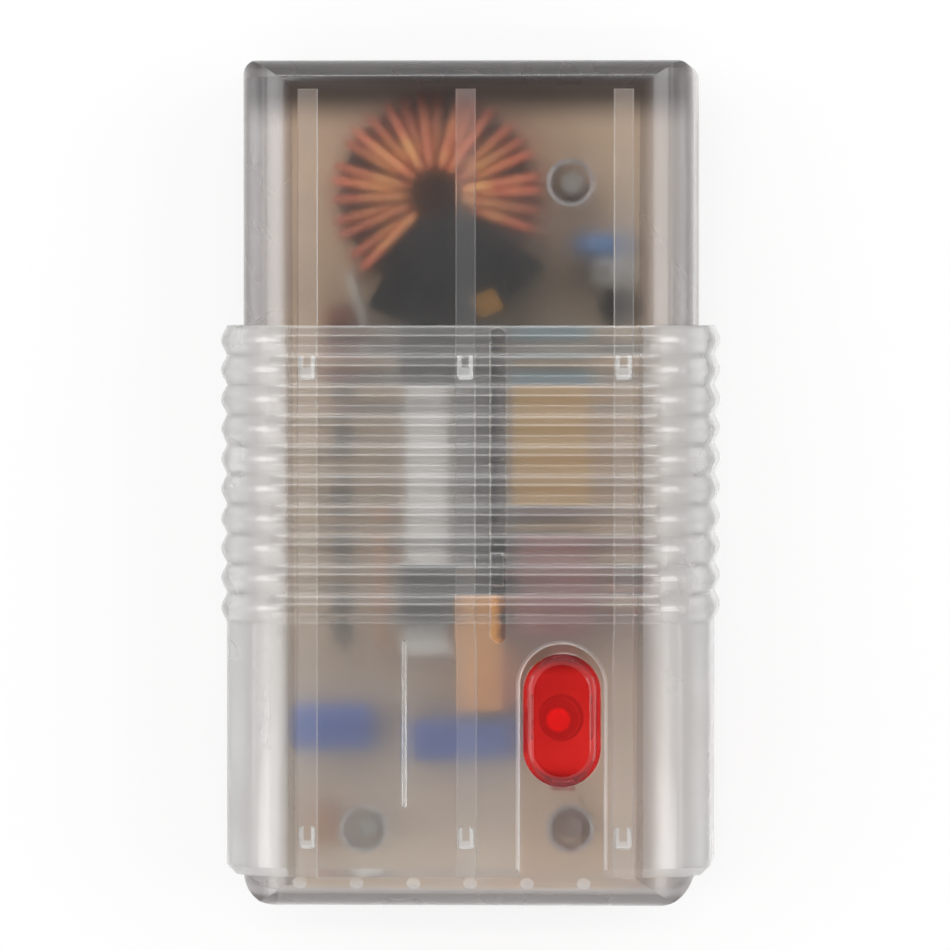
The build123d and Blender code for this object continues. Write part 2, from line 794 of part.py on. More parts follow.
# Thin blue-green capacitor between it and the ring transformer
coupling_capacitor = film_capacitor(
    right_row + coupling_width / 2,
    coupling_y,
    coupling_width,
    coupling_length,
    coupling_height,
)
coupling_capacitor.part.label = "coupling_capacitor"
export_step(coupling_capacitor.part, "parts/coupling_capacitor.step")

# Brown capacitor between the large one and the lens
smoothing_capacitor = film_capacitor(
    right_row + smoothing_width / 2,
    smoothing_y,
    smoothing_width,
    smoothing_length,
    smoothing_height,
)
smoothing_capacitor.part.label = "smoothing_capacitor"
export_step(smoothing_capacitor.part, "parts/smoothing_capacitor.step")

# Narrow tan capacitor in line with the potentiometer
snubber_capacitor = film_capacitor(
    snubber_x,
    snubber_far - snubber_length / 2,
    snubber_width,
    snubber_length,
    snubber_height,
)
snubber_capacitor.part.label = "snubber_capacitor"
export_step(snubber_capacitor.part, "parts/snubber_capacitor.step")

# Two blue capacitors at the edge of the wiring room
bridge_capacitor = film_capacitor(
    bridge_x,
    bridge_y,
    bridge_width,
    bridge_length,
    bridge_height,
)
bridge_capacitor.part.label = "bridge_capacitor"
export_step(bridge_capacitor.part, "parts/bridge_capacitor.step")
mains_capacitor = film_capacitor(
    mains_x,
    mains_y,
    mains_width,
    mains_length,
    mains_height,
)
mains_capacitor.part.label = "mains_capacitor"
export_step(mains_capacitor.part, "parts/mains_capacitor.step")

# Row beside the ring transformer: electrolytic capacitor, lamp terminal and blue disc capacitor
timing_y = middle_far + timing_radius
terminal_y = timing_y + timing_radius + part_gap + terminal_length / 2
disc_y = terminal_y + terminal_length / 2 + part_gap + disc_thickness / 2

# Black electrolytic capacitor
with BuildPart() as timing_capacitor:
    with BuildSketch(Plane.XY.offset(board_top)):
        with Locations((timing_x, timing_y)):
            RegularPolygon(timing_radius, small_sides)
    extrude(amount=timing_height)
    chamfer(timing_capacitor.edges().group_by(Axis.Z)[-1], length=timing_crown)
timing_capacitor.part.label = "timing_capacitor"
export_step(timing_capacitor.part, "parts/timing_capacitor.step")

# White terminal for the two lamp wires, with their holes facing the outlet
with BuildPart() as lamp_terminal:
    with BuildSketch(Plane.XY.offset(board_top)):
        with Locations((terminal_x, terminal_y)):
            Rectangle(terminal_width, terminal_length)
    extrude(amount=terminal_height)
    chamfer(lamp_terminal.edges().group_by(Axis.Z)[-1], length=capacitor_chamfer)
    with BuildSketch(Plane.XY.offset(board_top + terminal_height)):
        with Locations((terminal_x, terminal_y)):
            with GridLocations(terminal_hole_pitch, 0, 2, 1):
                Rectangle(terminal_hole_width, terminal_hole_width)
    extrude(amount=-terminal_height / 2, mode=Mode.SUBTRACT)
lamp_terminal.part.label = "lamp_terminal"
export_step(lamp_terminal.part, "parts/lamp_terminal.step")

# Blue disc capacitor, standing on its edge
with BuildPart() as disc_capacitor:
    with BuildSketch(Plane.XZ.offset(-disc_y)):
        with Locations((disc_x, board_top + disc_radius)):
            RegularPolygon(disc_radius, 2 * small_sides)
    extrude(amount=disc_thickness / 2, both=True)
disc_capacitor.part.label = "disc_capacitor"
export_step(disc_capacitor.part, "parts/disc_capacitor.step")


# Round part lying along Y above the board on two bent leads
def axial_part(x, y, radius, length, clear):
    height = board_top + clear + radius
    with BuildPart() as axial:
        with BuildSketch(Plane.XZ.offset(-y)):
            with Locations((x, height)):
                RegularPolygon(radius, axial_sides)
        extrude(amount=length / 2, both=True)
        with BuildSketch(Plane.YZ.offset(x)):
            with Locations((y, height)):
                Rectangle(length + 2 * axial_lead_run, axial_lead)
            for side in (-1, 1):
                with Locations((y + side * (length / 2 + axial_lead_run - axial_lead / 2), board_top)):
                    Rectangle(axial_lead, height - board_top, align=(Align.CENTER, Align.MIN))
        extrude(amount=axial_lead / 2, both=True)
    return axial.part


# Small ring core of the driver, standing on its edge at the far end of the row of diodes
driver_y = middle_far - driver_inset
driver_height = board_top + driver_radius
with BuildPart() as driver_core:
    with BuildSketch(Plane.YZ.offset(column_x)):
        with Locations((driver_y, driver_height)):
            RegularPolygon(driver_radius, small_sides)
            RegularPolygon(driver_hole_radius, small_sides, mode=Mode.SUBTRACT)
    extrude(amount=driver_width / 2, both=True)
driver_core.part.label = "driver_core"
export_step(driver_core.part, "parts/driver_core.step")

# Turns of thin wire over the upper half of the driver core
ring_width = driver_radius - driver_hole_radius
with BuildPart() as driver_winding:
    for turn in range(driver_turns):
        turn_angle = math.radians((turn + 0.5) * 180 / driver_turns)
        turn_plane = Plane(
            origin=(column_x, driver_y, driver_height),
            x_dir=(0, math.cos(turn_angle), math.sin(turn_angle)),
            z_dir=(0, math.sin(turn_angle), -math.cos(turn_angle)),
        )
        with BuildSketch(turn_plane):
            with Locations((driver_hole_radius + ring_width / 2, 0)):
                Rectangle(
                    ring_width + 2 * (driver_wire_gap + driver_wire),
                    driver_width + 2 * (driver_wire_gap + driver_wire),
                )
                Rectangle(
                    ring_width + 2 * driver_wire_gap,
                    driver_width + 2 * driver_wire_gap,
                    mode=Mode.SUBTRACT,
                )
        extrude(amount=driver_wire / 2, both=True)
driver_winding.part.label = "driver_winding"
export_step(driver_winding.part, "parts/driver_winding.step")

# Rectifier diodes in a row, on long leads that keep their heat off the board
driver_near = driver_y - driver_radius - driver_wire_gap - driver_wire - part_gap
first_diode_y = driver_near - axial_lead_run - diode_length / 2
diode_step = diode_length + 2 * axial_lead_run + part_gap
diode_rows = [first_diode_y - row * diode_step for row in range(diode_count)]
with BuildPart() as rectifier_diodes:
    for diode_y in diode_rows:
        add(axial_part(column_x, diode_y, diode_radius, diode_length, diode_clear))
rectifier_diodes.part.label = "rectifier_diodes"
export_step(rectifier_diodes.part, "parts/rectifier_diodes.step")

# Resistors of the starting and dimming circuit
resistor_middle = (diode_rows[0] + diode_rows[-1]) / 2
with BuildPart() as resistors:
    for row in (-1, 1):
        for side in (-1, 1):
            resistor_x = column_x + side * resistor_offset
            resistor_y = resistor_middle + row * resistor_spacing
            add(axial_part(resistor_x, resistor_y, resistor_radius, resistor_length, axial_clear))
resistors.part.label = "resistors"
export_step(resistors.part, "parts/resistors.step")

# Input fuse in the wiring room
fuse_y = near_wall + near_boss_inset
input_fuse = axial_part(fuse_x, fuse_y, fuse_radius, fuse_length, axial_clear)
input_fuse.label = "input_fuse"
export_step(input_fuse, "parts/input_fuse.step")

# Filter choke: upright ferrite rod
choke_x = right_row + smoothing_width + part_gap + choke_radius
with BuildPart() as choke_core:
    with BuildSketch(Plane.XY.offset(board_top)):
        with Locations((choke_x, smoothing_y)):
            RegularPolygon(choke_core_radius, small_sides, major_radius=False)
    extrude(amount=choke_height)
choke_core.part.label = "choke_core"
export_step(choke_core.part, "parts/choke_core.step")

# Winding of the choke, wound on the rod between its bare ends
with BuildPart() as choke_winding:
    with BuildSketch(Plane.XY.offset(board_top + choke_end)):
        with Locations((choke_x, smoothing_y)):
            RegularPolygon(choke_radius, small_sides)
            RegularPolygon(choke_core_radius, small_sides, major_radius=False, mode=Mode.SUBTRACT)
    extrude(amount=choke_height - 2 * choke_end)
choke_winding.part.label = "choke_winding"
export_step(choke_winding.part, "parts/choke_winding.step")
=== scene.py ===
import bpy
import math
import random
from mathutils import Matrix, Vector


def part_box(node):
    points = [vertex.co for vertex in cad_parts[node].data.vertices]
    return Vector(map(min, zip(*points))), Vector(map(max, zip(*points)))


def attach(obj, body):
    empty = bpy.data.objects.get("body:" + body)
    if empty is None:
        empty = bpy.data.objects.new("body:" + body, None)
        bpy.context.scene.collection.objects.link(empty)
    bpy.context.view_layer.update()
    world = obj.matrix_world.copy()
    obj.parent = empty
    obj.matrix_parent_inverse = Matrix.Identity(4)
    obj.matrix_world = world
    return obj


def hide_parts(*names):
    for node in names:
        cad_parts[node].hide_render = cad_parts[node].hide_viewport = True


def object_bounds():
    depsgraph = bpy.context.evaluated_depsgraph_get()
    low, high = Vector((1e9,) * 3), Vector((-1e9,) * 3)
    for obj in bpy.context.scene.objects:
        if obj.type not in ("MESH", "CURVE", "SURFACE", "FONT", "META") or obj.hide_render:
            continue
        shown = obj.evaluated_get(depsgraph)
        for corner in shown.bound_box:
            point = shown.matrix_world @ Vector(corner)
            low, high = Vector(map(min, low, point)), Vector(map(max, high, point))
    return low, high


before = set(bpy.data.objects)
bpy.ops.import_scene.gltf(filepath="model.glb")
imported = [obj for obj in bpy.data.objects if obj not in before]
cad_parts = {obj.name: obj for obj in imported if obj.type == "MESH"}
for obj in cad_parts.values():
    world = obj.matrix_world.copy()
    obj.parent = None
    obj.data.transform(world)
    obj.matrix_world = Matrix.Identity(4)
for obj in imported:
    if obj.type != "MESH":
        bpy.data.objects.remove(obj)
cad_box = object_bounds()

# Base of the case
# A tray moulded in clear, slightly smoky plastic, frosted by the mould on its inner face.
# It stands on the floor, carries the circuit board on a ledge, and is screwed to the cover.
mm = 0.001


def seen(red, green, blue):
    """Colour of a surface from the 0 to 255 values that it shows in plain light."""
    values = [part / 255 for part in (red, green, blue)]
    return [v / 12.92 if v <= 0.04045 else ((v + 0.055) / 1.055) ** 2.4 for v in values] + [1.0]


def feed(source, result, target, given):
    """Feed an input of one shader node with a result of another."""
    source.id_data.links.new(source.outputs[result], target.inputs[given])


def effect(name, inputs, result):
    """Empty shader node group with named inputs, one output and a noise on Object coordinates."""
    group = bpy.data.node_groups.new(name, "ShaderNodeTree")
    for title, kind in inputs:
        group.interface.new_socket(title, in_out="INPUT", socket_type="NodeSocket" + kind)
    group.interface.new_socket(result[0], in_out="OUTPUT", socket_type="NodeSocket" + result[1])
    given = group.nodes.new("NodeGroupInput")
    place = group.nodes.new("ShaderNodeTexCoord")
    noise = group.nodes.new("ShaderNodeTexNoise")
    noise.inputs["Detail"].default_value = 2
    feed(place, "Object", noise, "Vector")
    feed(given, "Scale", noise, "Scale")
    return group, given, noise, group.nodes.new("NodeGroupOutput")


def ramp_between(tree, value, start, full, kind="LINEAR"):
    """Node that rises from 0 to 1 while a value goes from start to full."""
    ramp = tree.nodes.new("ShaderNodeMapRange")
    ramp.interpolation_type = kind
    ramp.inputs["From Min"].default_value = start
    ramp.inputs["From Max"].default_value = full
    tree.links.new(value, ramp.inputs["Value"])
    return ramp


noise_low = 0.3
noise_high = 0.7
uneven_tone, given, noise, out = effect(
    "uneven_tone", [("Light", "Color"), ("Dark", "Color"), ("Scale", "Float")], ("Color", "Color")
)
spread = ramp_between(uneven_tone, noise.outputs["Fac"], noise_low, noise_high)
blend = uneven_tone.nodes.new("ShaderNodeMix")
blend.data_type = "RGBA"
feed(spread, "Result", blend, "Factor")
feed(given, "Light", blend, "A")
feed(given, "Dark", blend, "B")
feed(blend, "Result", out, "Color")

uneven_gloss, given, noise, out = effect(
    "uneven_gloss", [("Smooth", "Float"), ("Rough", "Float"), ("Scale", "Float")], ("Value", "Float")
)
spread = ramp_between(uneven_gloss, noise.outputs["Fac"], noise_low, noise_high)
feed(given, "Smooth", spread, "To Min")
feed(given, "Rough", spread, "To Max")
feed(spread, "Result", out, "Value")

fine_grain, given, noise, out = effect(
    "fine_grain", [("Depth", "Float"), ("Scale", "Float")], ("Normal", "Vector")
)
bump = fine_grain.nodes.new("ShaderNodeBump")
bump.inputs["Strength"].default_value = 1.0
feed(noise, "Fac", bump, "Height")
feed(given, "Depth", bump, "Distance")
feed(bump, "Normal", out, "Normal")


def place_effect(material, group, socket, **values):
    """Put an effect into a material, give it its values and feed one socket of the shader."""
    nodes = material.node_tree.nodes
    node = nodes.new("ShaderNodeGroup")
    node.node_tree = group
    for title, value in values.items():
        node.inputs[title].default_value = value
    feed(node, 0, nodes["Principled BSDF"], socket)
    return node


def base_color(material):
    """Socket of the shader that takes the colour of the surface."""
    return material.node_tree.nodes["Principled BSDF"].inputs["Base Color"]


def solid_finish(name, light, dark, patch, gloss=(0.3, 0.45), grain=(0.01, 0.3), metal=0.0, shine=0.5):
    """Opaque finish: two tones in patches, an uneven gloss and a fine grain, with lengths in mm."""
    material = bpy.data.materials.new(name)
    material.use_nodes = True
    shader = material.node_tree.nodes["Principled BSDF"]
    shader.inputs["Metallic"].default_value = metal
    shader.inputs["Specular IOR Level"].default_value = shine
    spots = 1 / (patch * mm)
    place_effect(material, uneven_tone, "Base Color", Light=seen(*light), Dark=seen(*dark), Scale=spots)
    place_effect(material, uneven_gloss, "Roughness", Smooth=gloss[0], Rough=gloss[1], Scale=spots)
    place_effect(material, fine_grain, "Normal", Depth=grain[0] * mm, Scale=1 / (grain[1] * mm))
    return material


plastic_ior = 1.47
coat_ior = 1.7
coat_roughness = 0.12


def clear_finish(name, light, dark, patch, gloss, grain, clear, shade, coat=0.0):
    """Clear plastic: frosted glass to the eye, and a pale tint to the light that falls through."""
    material = solid_finish(name, light, dark, patch, gloss, grain)
    nodes = material.node_tree.nodes
    shader = nodes["Principled BSDF"]
    shader.inputs["Transmission Weight"].default_value = clear
    shader.inputs["IOR"].default_value = plastic_ior
    shader.inputs["Coat Weight"].default_value = coat
    shader.inputs["Coat Roughness"].default_value = coat_roughness
    shader.inputs["Coat IOR"].default_value = coat_ior
    path = nodes.new("ShaderNodeLightPath")
    shadow = nodes.new("ShaderNodeBsdfTransparent")
    shadow.inputs["Color"].default_value = seen(*shade)
    choose = nodes.new("ShaderNodeMixShader")
    feed(path, "Is Shadow Ray", choose, "Fac")
    feed(shader, "BSDF", choose, 1)
    feed(shadow, "BSDF", choose, 2)
    feed(choose, "Shader", nodes["Material Output"], "Surface")
    return material


def dress(node, finish):
    """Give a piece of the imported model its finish."""
    bpy.data.objects[node].material_slots[0].material = finish


def along(material, axis, start, full):
    """Mask that rises smoothly from 0 to 1 between two places along one axis of the part."""
    tree = material.node_tree
    place = tree.nodes.new("ShaderNodeTexCoord")
    split = tree.nodes.new("ShaderNodeSeparateXYZ")
    feed(place, "Object", split, "Vector")
    return ramp_between(tree, split.outputs[axis], start, full, "SMOOTHSTEP").outputs["Result"]


def blend_color(material, socket, color, mask):
    """Lay a second colour over what feeds a colour socket, where a mask says so."""
    tree = material.node_tree
    mix = tree.nodes.new("ShaderNodeMix")
    mix.data_type = "RGBA"
    if socket.is_linked:
        tree.links.new(socket.links[0].from_socket, mix.inputs["A"])
    else:
        mix.inputs["A"].default_value = socket.default_value
    mix.inputs["B"].default_value = seen(*color)
    tree.links.new(mask, mix.inputs["Factor"])
    tree.links.new(mix.outputs["Result"], socket)


case_plastic = clear_finish(
    "case_plastic", (230, 227, 225), (221, 218, 216), patch=14, gloss=(0.32, 0.4), grain=(0.01, 0.6),
    clear=1.0, shade=(250, 249, 248),
)
# Painted shade: the case plastic turns dark grey towards the top of its far end.
far_shade_start = cad_box[1][1] - 9.0 * mm
far_shade_full = cad_box[1][1] - 4.0 * mm
far_shade_low = 19 * mm
far_shade_high = 23 * mm
far_shade_color = (92, 89, 90)


def paint_far_end_shade(material):
    """Paint shade into a clear plastic: darker towards the top of the far end of the case."""
    tree = material.node_tree
    far_shade = tree.nodes.new("ShaderNodeMath")
    far_shade.operation = "MULTIPLY"
    tree.links.new(along(material, "Y", far_shade_start, far_shade_full), far_shade.inputs[0])
    tree.links.new(along(material, "Z", far_shade_low, far_shade_high), far_shade.inputs[1])
    blend_color(material, base_color(material), far_shade_color, far_shade.outputs["Value"])


# The case plastic carries the painted shade at its far end.
paint_far_end_shade(case_plastic)
dress("base_shell", case_plastic)

# Circuit board
# A sheet of tan phenolic paper laminate, punched to size, 1.6 mm thick.
# It lies on the ledge of the base, and the three case screws go through it.
board_tan = solid_finish(
    "board_tan", (246, 219, 189), (226, 196, 164), patch=9, gloss=(0.4, 0.6), grain=(0.02, 0.35)
)
# Painted light: the board is made paler towards its near end.
painted_light_start = -16 * mm
painted_light_full = -40 * mm
painted_light_mask = along(board_tan, "Y", painted_light_start, painted_light_full)
blend_color(board_tan, base_color(board_tan), (255, 236, 212), painted_light_mask)
dress("circuit_board", board_tan)

# Case screws
# Three zinc-plated steel screws with a cross recess, driven up from below into the cover's bosses.
screw_steel = solid_finish(
    "screw_steel", (196, 194, 188), (166, 163, 156),
    patch=1.5, gloss=(0.25, 0.4), grain=(0.004, 0.2), metal=0.5,
)
dress("case_screws", screw_steel)

# Ring core of the transformer
# Pressed and fired ferrite, dark grey and matt, with rounded edges so that it doesn't cut the wire.
# It is held clear of the board by its lowest turns.


def middle_of(low, high):
    """Middle of a box from its lowest and highest corners."""
    return [(a + b) / 2 for a, b in zip(low, high)]


def measure(node):
    """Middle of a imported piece, and half of its size along each axis."""
    low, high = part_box(node)
    return middle_of(low, high), [(b - a) / 2 for a, b in zip(low, high)]


ring_middle, (core_outer, _, core_half) = measure("toroid_core")
core_inner = 5.6 * mm
core_round = 0.6 * mm


def edit_mode():
    """Go to the points, edges and faces of the active piece."""
    bpy.ops.object.mode_set(mode="EDIT")


def object_mode():
    """Go back to whole pieces."""
    bpy.ops.object.mode_set(mode="OBJECT")


def start_piece():
    """Leave edit mode and deselect all that was there before a new piece is begun."""
    if bpy.context.mode != "OBJECT":
        object_mode()
    bpy.ops.object.select_all(action="DESELECT")
    bpy.context.tool_settings.mesh_select_mode = (True, False, False)


def take(piece):
    """Make one piece the active and only selected one."""
    start_piece()
    bpy.context.view_layer.objects.active = piece
    piece.select_set(True)


sharp_angle = 30


def smooth(degrees=sharp_angle):
    """Shade the active piece smooth, apart from edges sharper than this."""
    bpy.ops.object.shade_smooth_by_angle(angle=math.radians(degrees))


def merge_all(distance=0.001 * mm):
    """In edit mode, select everything and merge the points that lie on each other."""
    bpy.ops.mesh.select_all(action="SELECT")
    bpy.ops.mesh.remove_doubles(threshold=distance)


def lathe(name, outline, middle, axis=(0, 0, 1), steps=48, first=None, sweep=360):
    """Piece turned about an axis from (place along it, radius) points, or a sector of such a piece."""
    start_piece()
    bpy.ops.mesh.primitive_plane_add(size=mm)
    piece = bpy.context.object
    piece.name = name
    edit_mode()
    bpy.ops.mesh.merge(type="CENTER")
    axis = Vector(axis)
    across = Vector(first) if first else axis.orthogonal().normalized()
    corners = [Vector(middle) + axis * place + across * radius for place, radius in outline]
    bpy.ops.transform.translate(value=corners[0])
    for before, after in zip(corners, corners[1:]):
        bpy.ops.mesh.extrude_vertices_move(TRANSFORM_OT_translate={"value": after - before})
    merge_all()
    bpy.ops.mesh.spin(steps=steps, angle=math.radians(sweep), center=middle, axis=-axis)
    merge_all()
    if sweep < 360:
        bpy.ops.mesh.fill_holes(sides=0)
    bpy.ops.mesh.normals_make_consistent(inside=False)
    object_mode()
    smooth()
    return piece


def soften(piece, width, segments=3):
    """Round the sharp edges of a piece."""
    take(piece)
    step = piece.modifiers.new("soften", "BEVEL")
    step.width = width
    step.segments = segments
    step.limit_method = "ANGLE"
    step.angle_limit = math.radians(sharp_angle)
    bpy.ops.object.modifier_apply(modifier=step.name)
    smooth()


def stands_for(piece, node, slot, *finishes):
    """Dress a finished piece of the case, which stands for a packed one."""
    for finish in finishes:
        piece.data.materials.append(finish)
    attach(piece, "case")
    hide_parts(node)


def ring_section(half, inner, outer):
    """Closed section of a plain ring, as (place along the axis, radius) points."""
    return [(-half, inner), (-half, outer), (half, outer), (half, inner), (-half, inner)]


core_section = ring_section(core_half, core_inner, core_outer)
ring_core = lathe("ring_core", core_section, ring_middle, steps=72)
soften(ring_core, core_round)
ferrite = solid_finish(
    "ferrite", (48, 46, 47), (28, 26, 28), patch=2, gloss=(0.5, 0.7), grain=(0.02, 0.25), shine=0.25
)
stands_for(ring_core, "toroid_core", "ferrite", ferrite)

# Copper turns of the ring
# Enamelled copper wire, wound by hand round the core in two layers: every other turn lies on
# top of its neighbours where they crowd together at the bore.
wire_size = 1.15 * mm
wire_gap = 0.15 * mm
wire_bend = 1.0 * mm
wire_sides = 12
bend_steps = 5
turn_count = 24
turn_first_angle = -20.0
turn_pitch = 10.7


def settle():
    """Write the place, the turn and the size of the active piece into its mesh."""
    bpy.ops.object.transform_apply(location=True, rotation=True, scale=True)


def push(step):
    """In edit mode, extrude what is selected by one step."""
    bpy.ops.mesh.extrude_region_move(TRANSFORM_OT_translate={"value": step})


def bent_wire(name, start, heading, size, moves):
    """Round wire in an upright plane across Y: straight runs and bends, angles in degrees."""
    start_piece()
    turned = (0, math.radians(90 - heading), 0)
    bpy.ops.mesh.primitive_circle_add(vertices=wire_sides, radius=size / 2, location=start, rotation=turned)
    wire = bpy.context.object
    wire.name = name
    settle()
    edit_mode()
    bpy.ops.mesh.select_all(action="SELECT")
    tip = Vector(start)
    angle = math.radians(heading)
    for run, bend, radius in moves:
        step = Vector((math.cos(angle), 0, math.sin(angle))) * run
        push(step)
        tip = tip + step
        if bend:
            side = math.copysign(1, bend)
            middle = tip + Vector((-math.sin(angle), 0, math.cos(angle))) * side * radius
            bpy.ops.mesh.spin(
                steps=bend_steps, angle=math.radians(abs(bend)), center=middle, axis=(0, side, 0)
            )
            angle += math.radians(bend)
            tip = middle + Vector((math.sin(angle), 0, -math.cos(angle))) * side * radius
    merge_all(size / 100)
    bpy.ops.mesh.fill_holes(sides=0)
    bpy.ops.mesh.normals_make_consistent(inside=False)
    object_mode()
    smooth(40)
    return wire


def closed_turn(inner_leg, outer_leg, half_height, rise, size, bend):
    """One closed turn round a ring, in the plane through its axis; it may rise towards the bore."""
    tilt = math.atan2(rise, outer_leg - inner_leg)
    outer_turn = math.pi / 2 - tilt
    inner_turn = math.pi / 2 + tilt
    outer_cut = bend * math.tan(outer_turn / 2)
    inner_cut = bend * math.tan(inner_turn / 2)
    across = (outer_leg - inner_leg) / math.cos(tilt) - outer_cut - inner_cut
    moves = [
        (half_height - outer_cut, math.degrees(outer_turn), bend),
        (across, math.degrees(inner_turn), bend),
        (2 * (half_height + rise - inner_cut), math.degrees(inner_turn), bend),
        (across, math.degrees(outer_turn), bend),
        (half_height - outer_cut, 0, 0),
    ]
    return bent_wire("closed_turn", (outer_leg, 0, 0), 90, size, moves)


def put(piece, turn, place):
    """Turn the mesh of a piece about Z and move it to its place."""
    piece.data.transform(Matrix.Translation(place) @ Matrix.Rotation(math.radians(turn), 4, "Z"))


def copy_piece(piece, turn=0, place=(0, 0, 0)):
    """Copy with its own mesh, turned about Z and moved, with its place in its mesh."""
    twin = piece.copy()
    twin.data = piece.data.copy()
    bpy.context.collection.objects.link(twin)
    put(twin, turn, place)
    return twin


def join_pieces(name, members):
    """Join pieces into one object under the given name."""
    start_piece()
    for member in members:
        member.select_set(True)
    bpy.context.view_layer.objects.active = members[0]
    bpy.ops.object.join()
    members[0].name = name
    return members[0]


def give_tone(piece, tone):
    """Note on a turn of wire how light it is beside the others, from 0 to 1."""
    note = piece.data.attributes.new("turn_tone", "FLOAT", "POINT")
    note.data.foreach_set("value", [tone] * len(piece.data.vertices))


hand = random.Random(5)
turn_sway = 1.8
turns = []
for layer in range(2):
    pattern = closed_turn(
        core_inner - wire_gap - wire_size / 2 - layer * wire_size,
        core_outer + wire_gap + wire_size / 2,
        core_half + wire_gap + wire_size / 2,
        layer * wire_size,
        wire_size,
        wire_bend,
    )
    for turn in range(layer, turn_count, 2):
        angle = turn_first_angle + turn * turn_pitch + hand.uniform(-turn_sway, turn_sway)
        wire = copy_piece(pattern, angle, ring_middle)
        give_tone(wire, hand.random())
        turns.append(wire)
    bpy.data.objects.remove(pattern)
copper_turns = join_pieces("copper_turns", turns)


def outward(material, middle, start, full):
    """Mask that rises from 0 to 1 between two distances from an upright axis."""
    tree = material.node_tree
    place = tree.nodes.new("ShaderNodeTexCoord")
    centred = tree.nodes.new("ShaderNodeMapping")
    centred.inputs["Location"].default_value = (-middle[0], -middle[1], 0)
    centred.inputs["Scale"].default_value = (1, 1, 0)
    radius = tree.nodes.new("ShaderNodeVectorMath")
    radius.operation = "LENGTH"
    feed(place, "Object", centred, "Vector")
    feed(centred, "Vector", radius, 0)
    return ramp_between(tree, radius.outputs["Value"], start, full).outputs["Result"]


dullest_turn = 0.8
brightest_turn = 1.35


def copper_finish(name, near, far, middle, near_radius, far_radius):
    """Enamelled copper with painted light, paler at the bore of a ring and darker outwards, and a tone that
    differs at random from turn to turn.
    """
    material = solid_finish(name, near, far, patch=2.5, gloss=(0.28, 0.42), grain=(0.01, 0.4), metal=0.1)
    nodes = material.node_tree.nodes
    patches = base_color(material).links[0].from_node
    blend_color(material, patches.inputs["Light"], far, outward(material, middle, near_radius, far_radius))
    turn_tone = nodes.new("ShaderNodeAttribute")
    turn_tone.attribute_name = "turn_tone"
    brightness = nodes.new("ShaderNodeMapRange")
    brightness.inputs["To Min"].default_value = dullest_turn
    brightness.inputs["To Max"].default_value = brightest_turn
    varied = nodes.new("ShaderNodeVectorMath")
    varied.operation = "SCALE"
    feed(turn_tone, "Fac", brightness, "Value")
    feed(patches, "Color", varied, 0)
    feed(brightness, "Result", varied, "Scale")
    feed(varied, "Vector", nodes["Principled BSDF"], "Base Color")
    return material


# Painted light: the copper is paler at the bore of the ring and darker towards its outside.
copper = copper_finish(
    "copper",
    near=(255, 190, 118),
    far=(212, 112, 84),
    middle=ring_middle,
    near_radius=core_inner + wire_size,
    far_radius=core_outer,
)
stands_for(copper_turns, "toroid_winding", "copper", copper)

# Primary winding
# Many turns of thinner enamelled copper wire, wound flat over the part of the core that the thick
# turns leave free. The black shroud hides it from above.
primary_copper = solid_finish(
    "primary_copper", (196, 112, 74), (150, 78, 50), patch=0.6, grain=(0.06, 0.4), metal=0.5
)
dress("primary_winding", primary_copper)

# Shroud of the primary winding
# Black insulating wedge, moulded as a channel, over the sector that the copper turns leave free.
# It stands on the board with one wall in the bore of the ring and one outside it.
shroud_low, shroud_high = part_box("toroid_shroud")
shroud_first = 238.1
shroud_sweep = 89.9
shroud_radii = (3.0 * mm, 4.5 * mm, 13.1 * mm, 16.2 * mm)
shroud_top_wall = 1.2 * mm
shroud_round = 0.5 * mm
shroud_bottom = shroud_low[2] - ring_middle[2]
shroud_top = shroud_high[2] - ring_middle[2]


def from_ring(angle):
    """Direction that points from the axis of the ring at an angle in degrees."""
    return (math.cos(math.radians(angle)), math.sin(math.radians(angle)), 0)


bore, bore_wall, rim_wall, rim = shroud_radii
shroud_section = [
    (shroud_bottom, bore),
    (shroud_top, bore),
    (shroud_top, rim),
    (shroud_bottom, rim),
    (shroud_bottom, rim_wall),
    (shroud_top - shroud_top_wall, rim_wall),
    (shroud_top - shroud_top_wall, bore_wall),
    (shroud_bottom, bore_wall),
    (shroud_bottom, bore),
]
shroud_start = from_ring(shroud_first)
shroud = lathe(
    "black_shroud", shroud_section, ring_middle, steps=24, first=shroud_start, sweep=shroud_sweep
)
soften(shroud, shroud_round)
shroud_black = solid_finish(
    "shroud_black", (24, 23, 25), (12, 11, 13), patch=5, gloss=(0.4, 0.55), grain=(0.02, 0.5), shine=0.15
)
stands_for(shroud, "toroid_shroud", "shroud_black", shroud_black)

# Tape on the shroud
# A short piece of amber polyester tape that is folded over the outer rim of the shroud and holds it
# down on the winding.
tape_first = 290.0
tape_sweep = 12.0
tape_fold = 2.7 * mm
tape_drop = 8.0 * mm
tape_thickness = 0.12 * mm
tape_off = 0.02 * mm
tape_section = [
    (shroud_top - tape_drop, rim + tape_off),
    (shroud_top - tape_drop, rim + tape_off + tape_thickness),
    (shroud_top + tape_off + tape_thickness, rim + tape_off + tape_thickness),
    (shroud_top + tape_off + tape_thickness, rim - tape_fold),
    (shroud_top + tape_off, rim - tape_fold),
    (shroud_top + tape_off, rim + tape_off),
    (shroud_top - tape_drop, rim + tape_off),
]
tape_start = from_ring(tape_first)
tape = lathe("amber_tape", tape_section, ring_middle, steps=8, first=tape_start, sweep=tape_sweep)
amber_tape = solid_finish(
    "amber_tape", (158, 116, 52), (138, 100, 40), patch=3, gloss=(0.2, 0.3), grain=(0.01, 0.5)
)
tape.data.materials.append(amber_tape)
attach(tape, "case")

# Heat sink
# Aluminium sheet bent into a channel that stands on the board, bright and brushed along its length.
sink_aluminium = solid_finish(
    "sink_aluminium", (228, 228, 228), (210, 210, 210),
    patch=6, gloss=(0.35, 0.5), grain=(0.01, 0.4), metal=0.3,
)
dress("heat_sink", sink_aluminium)

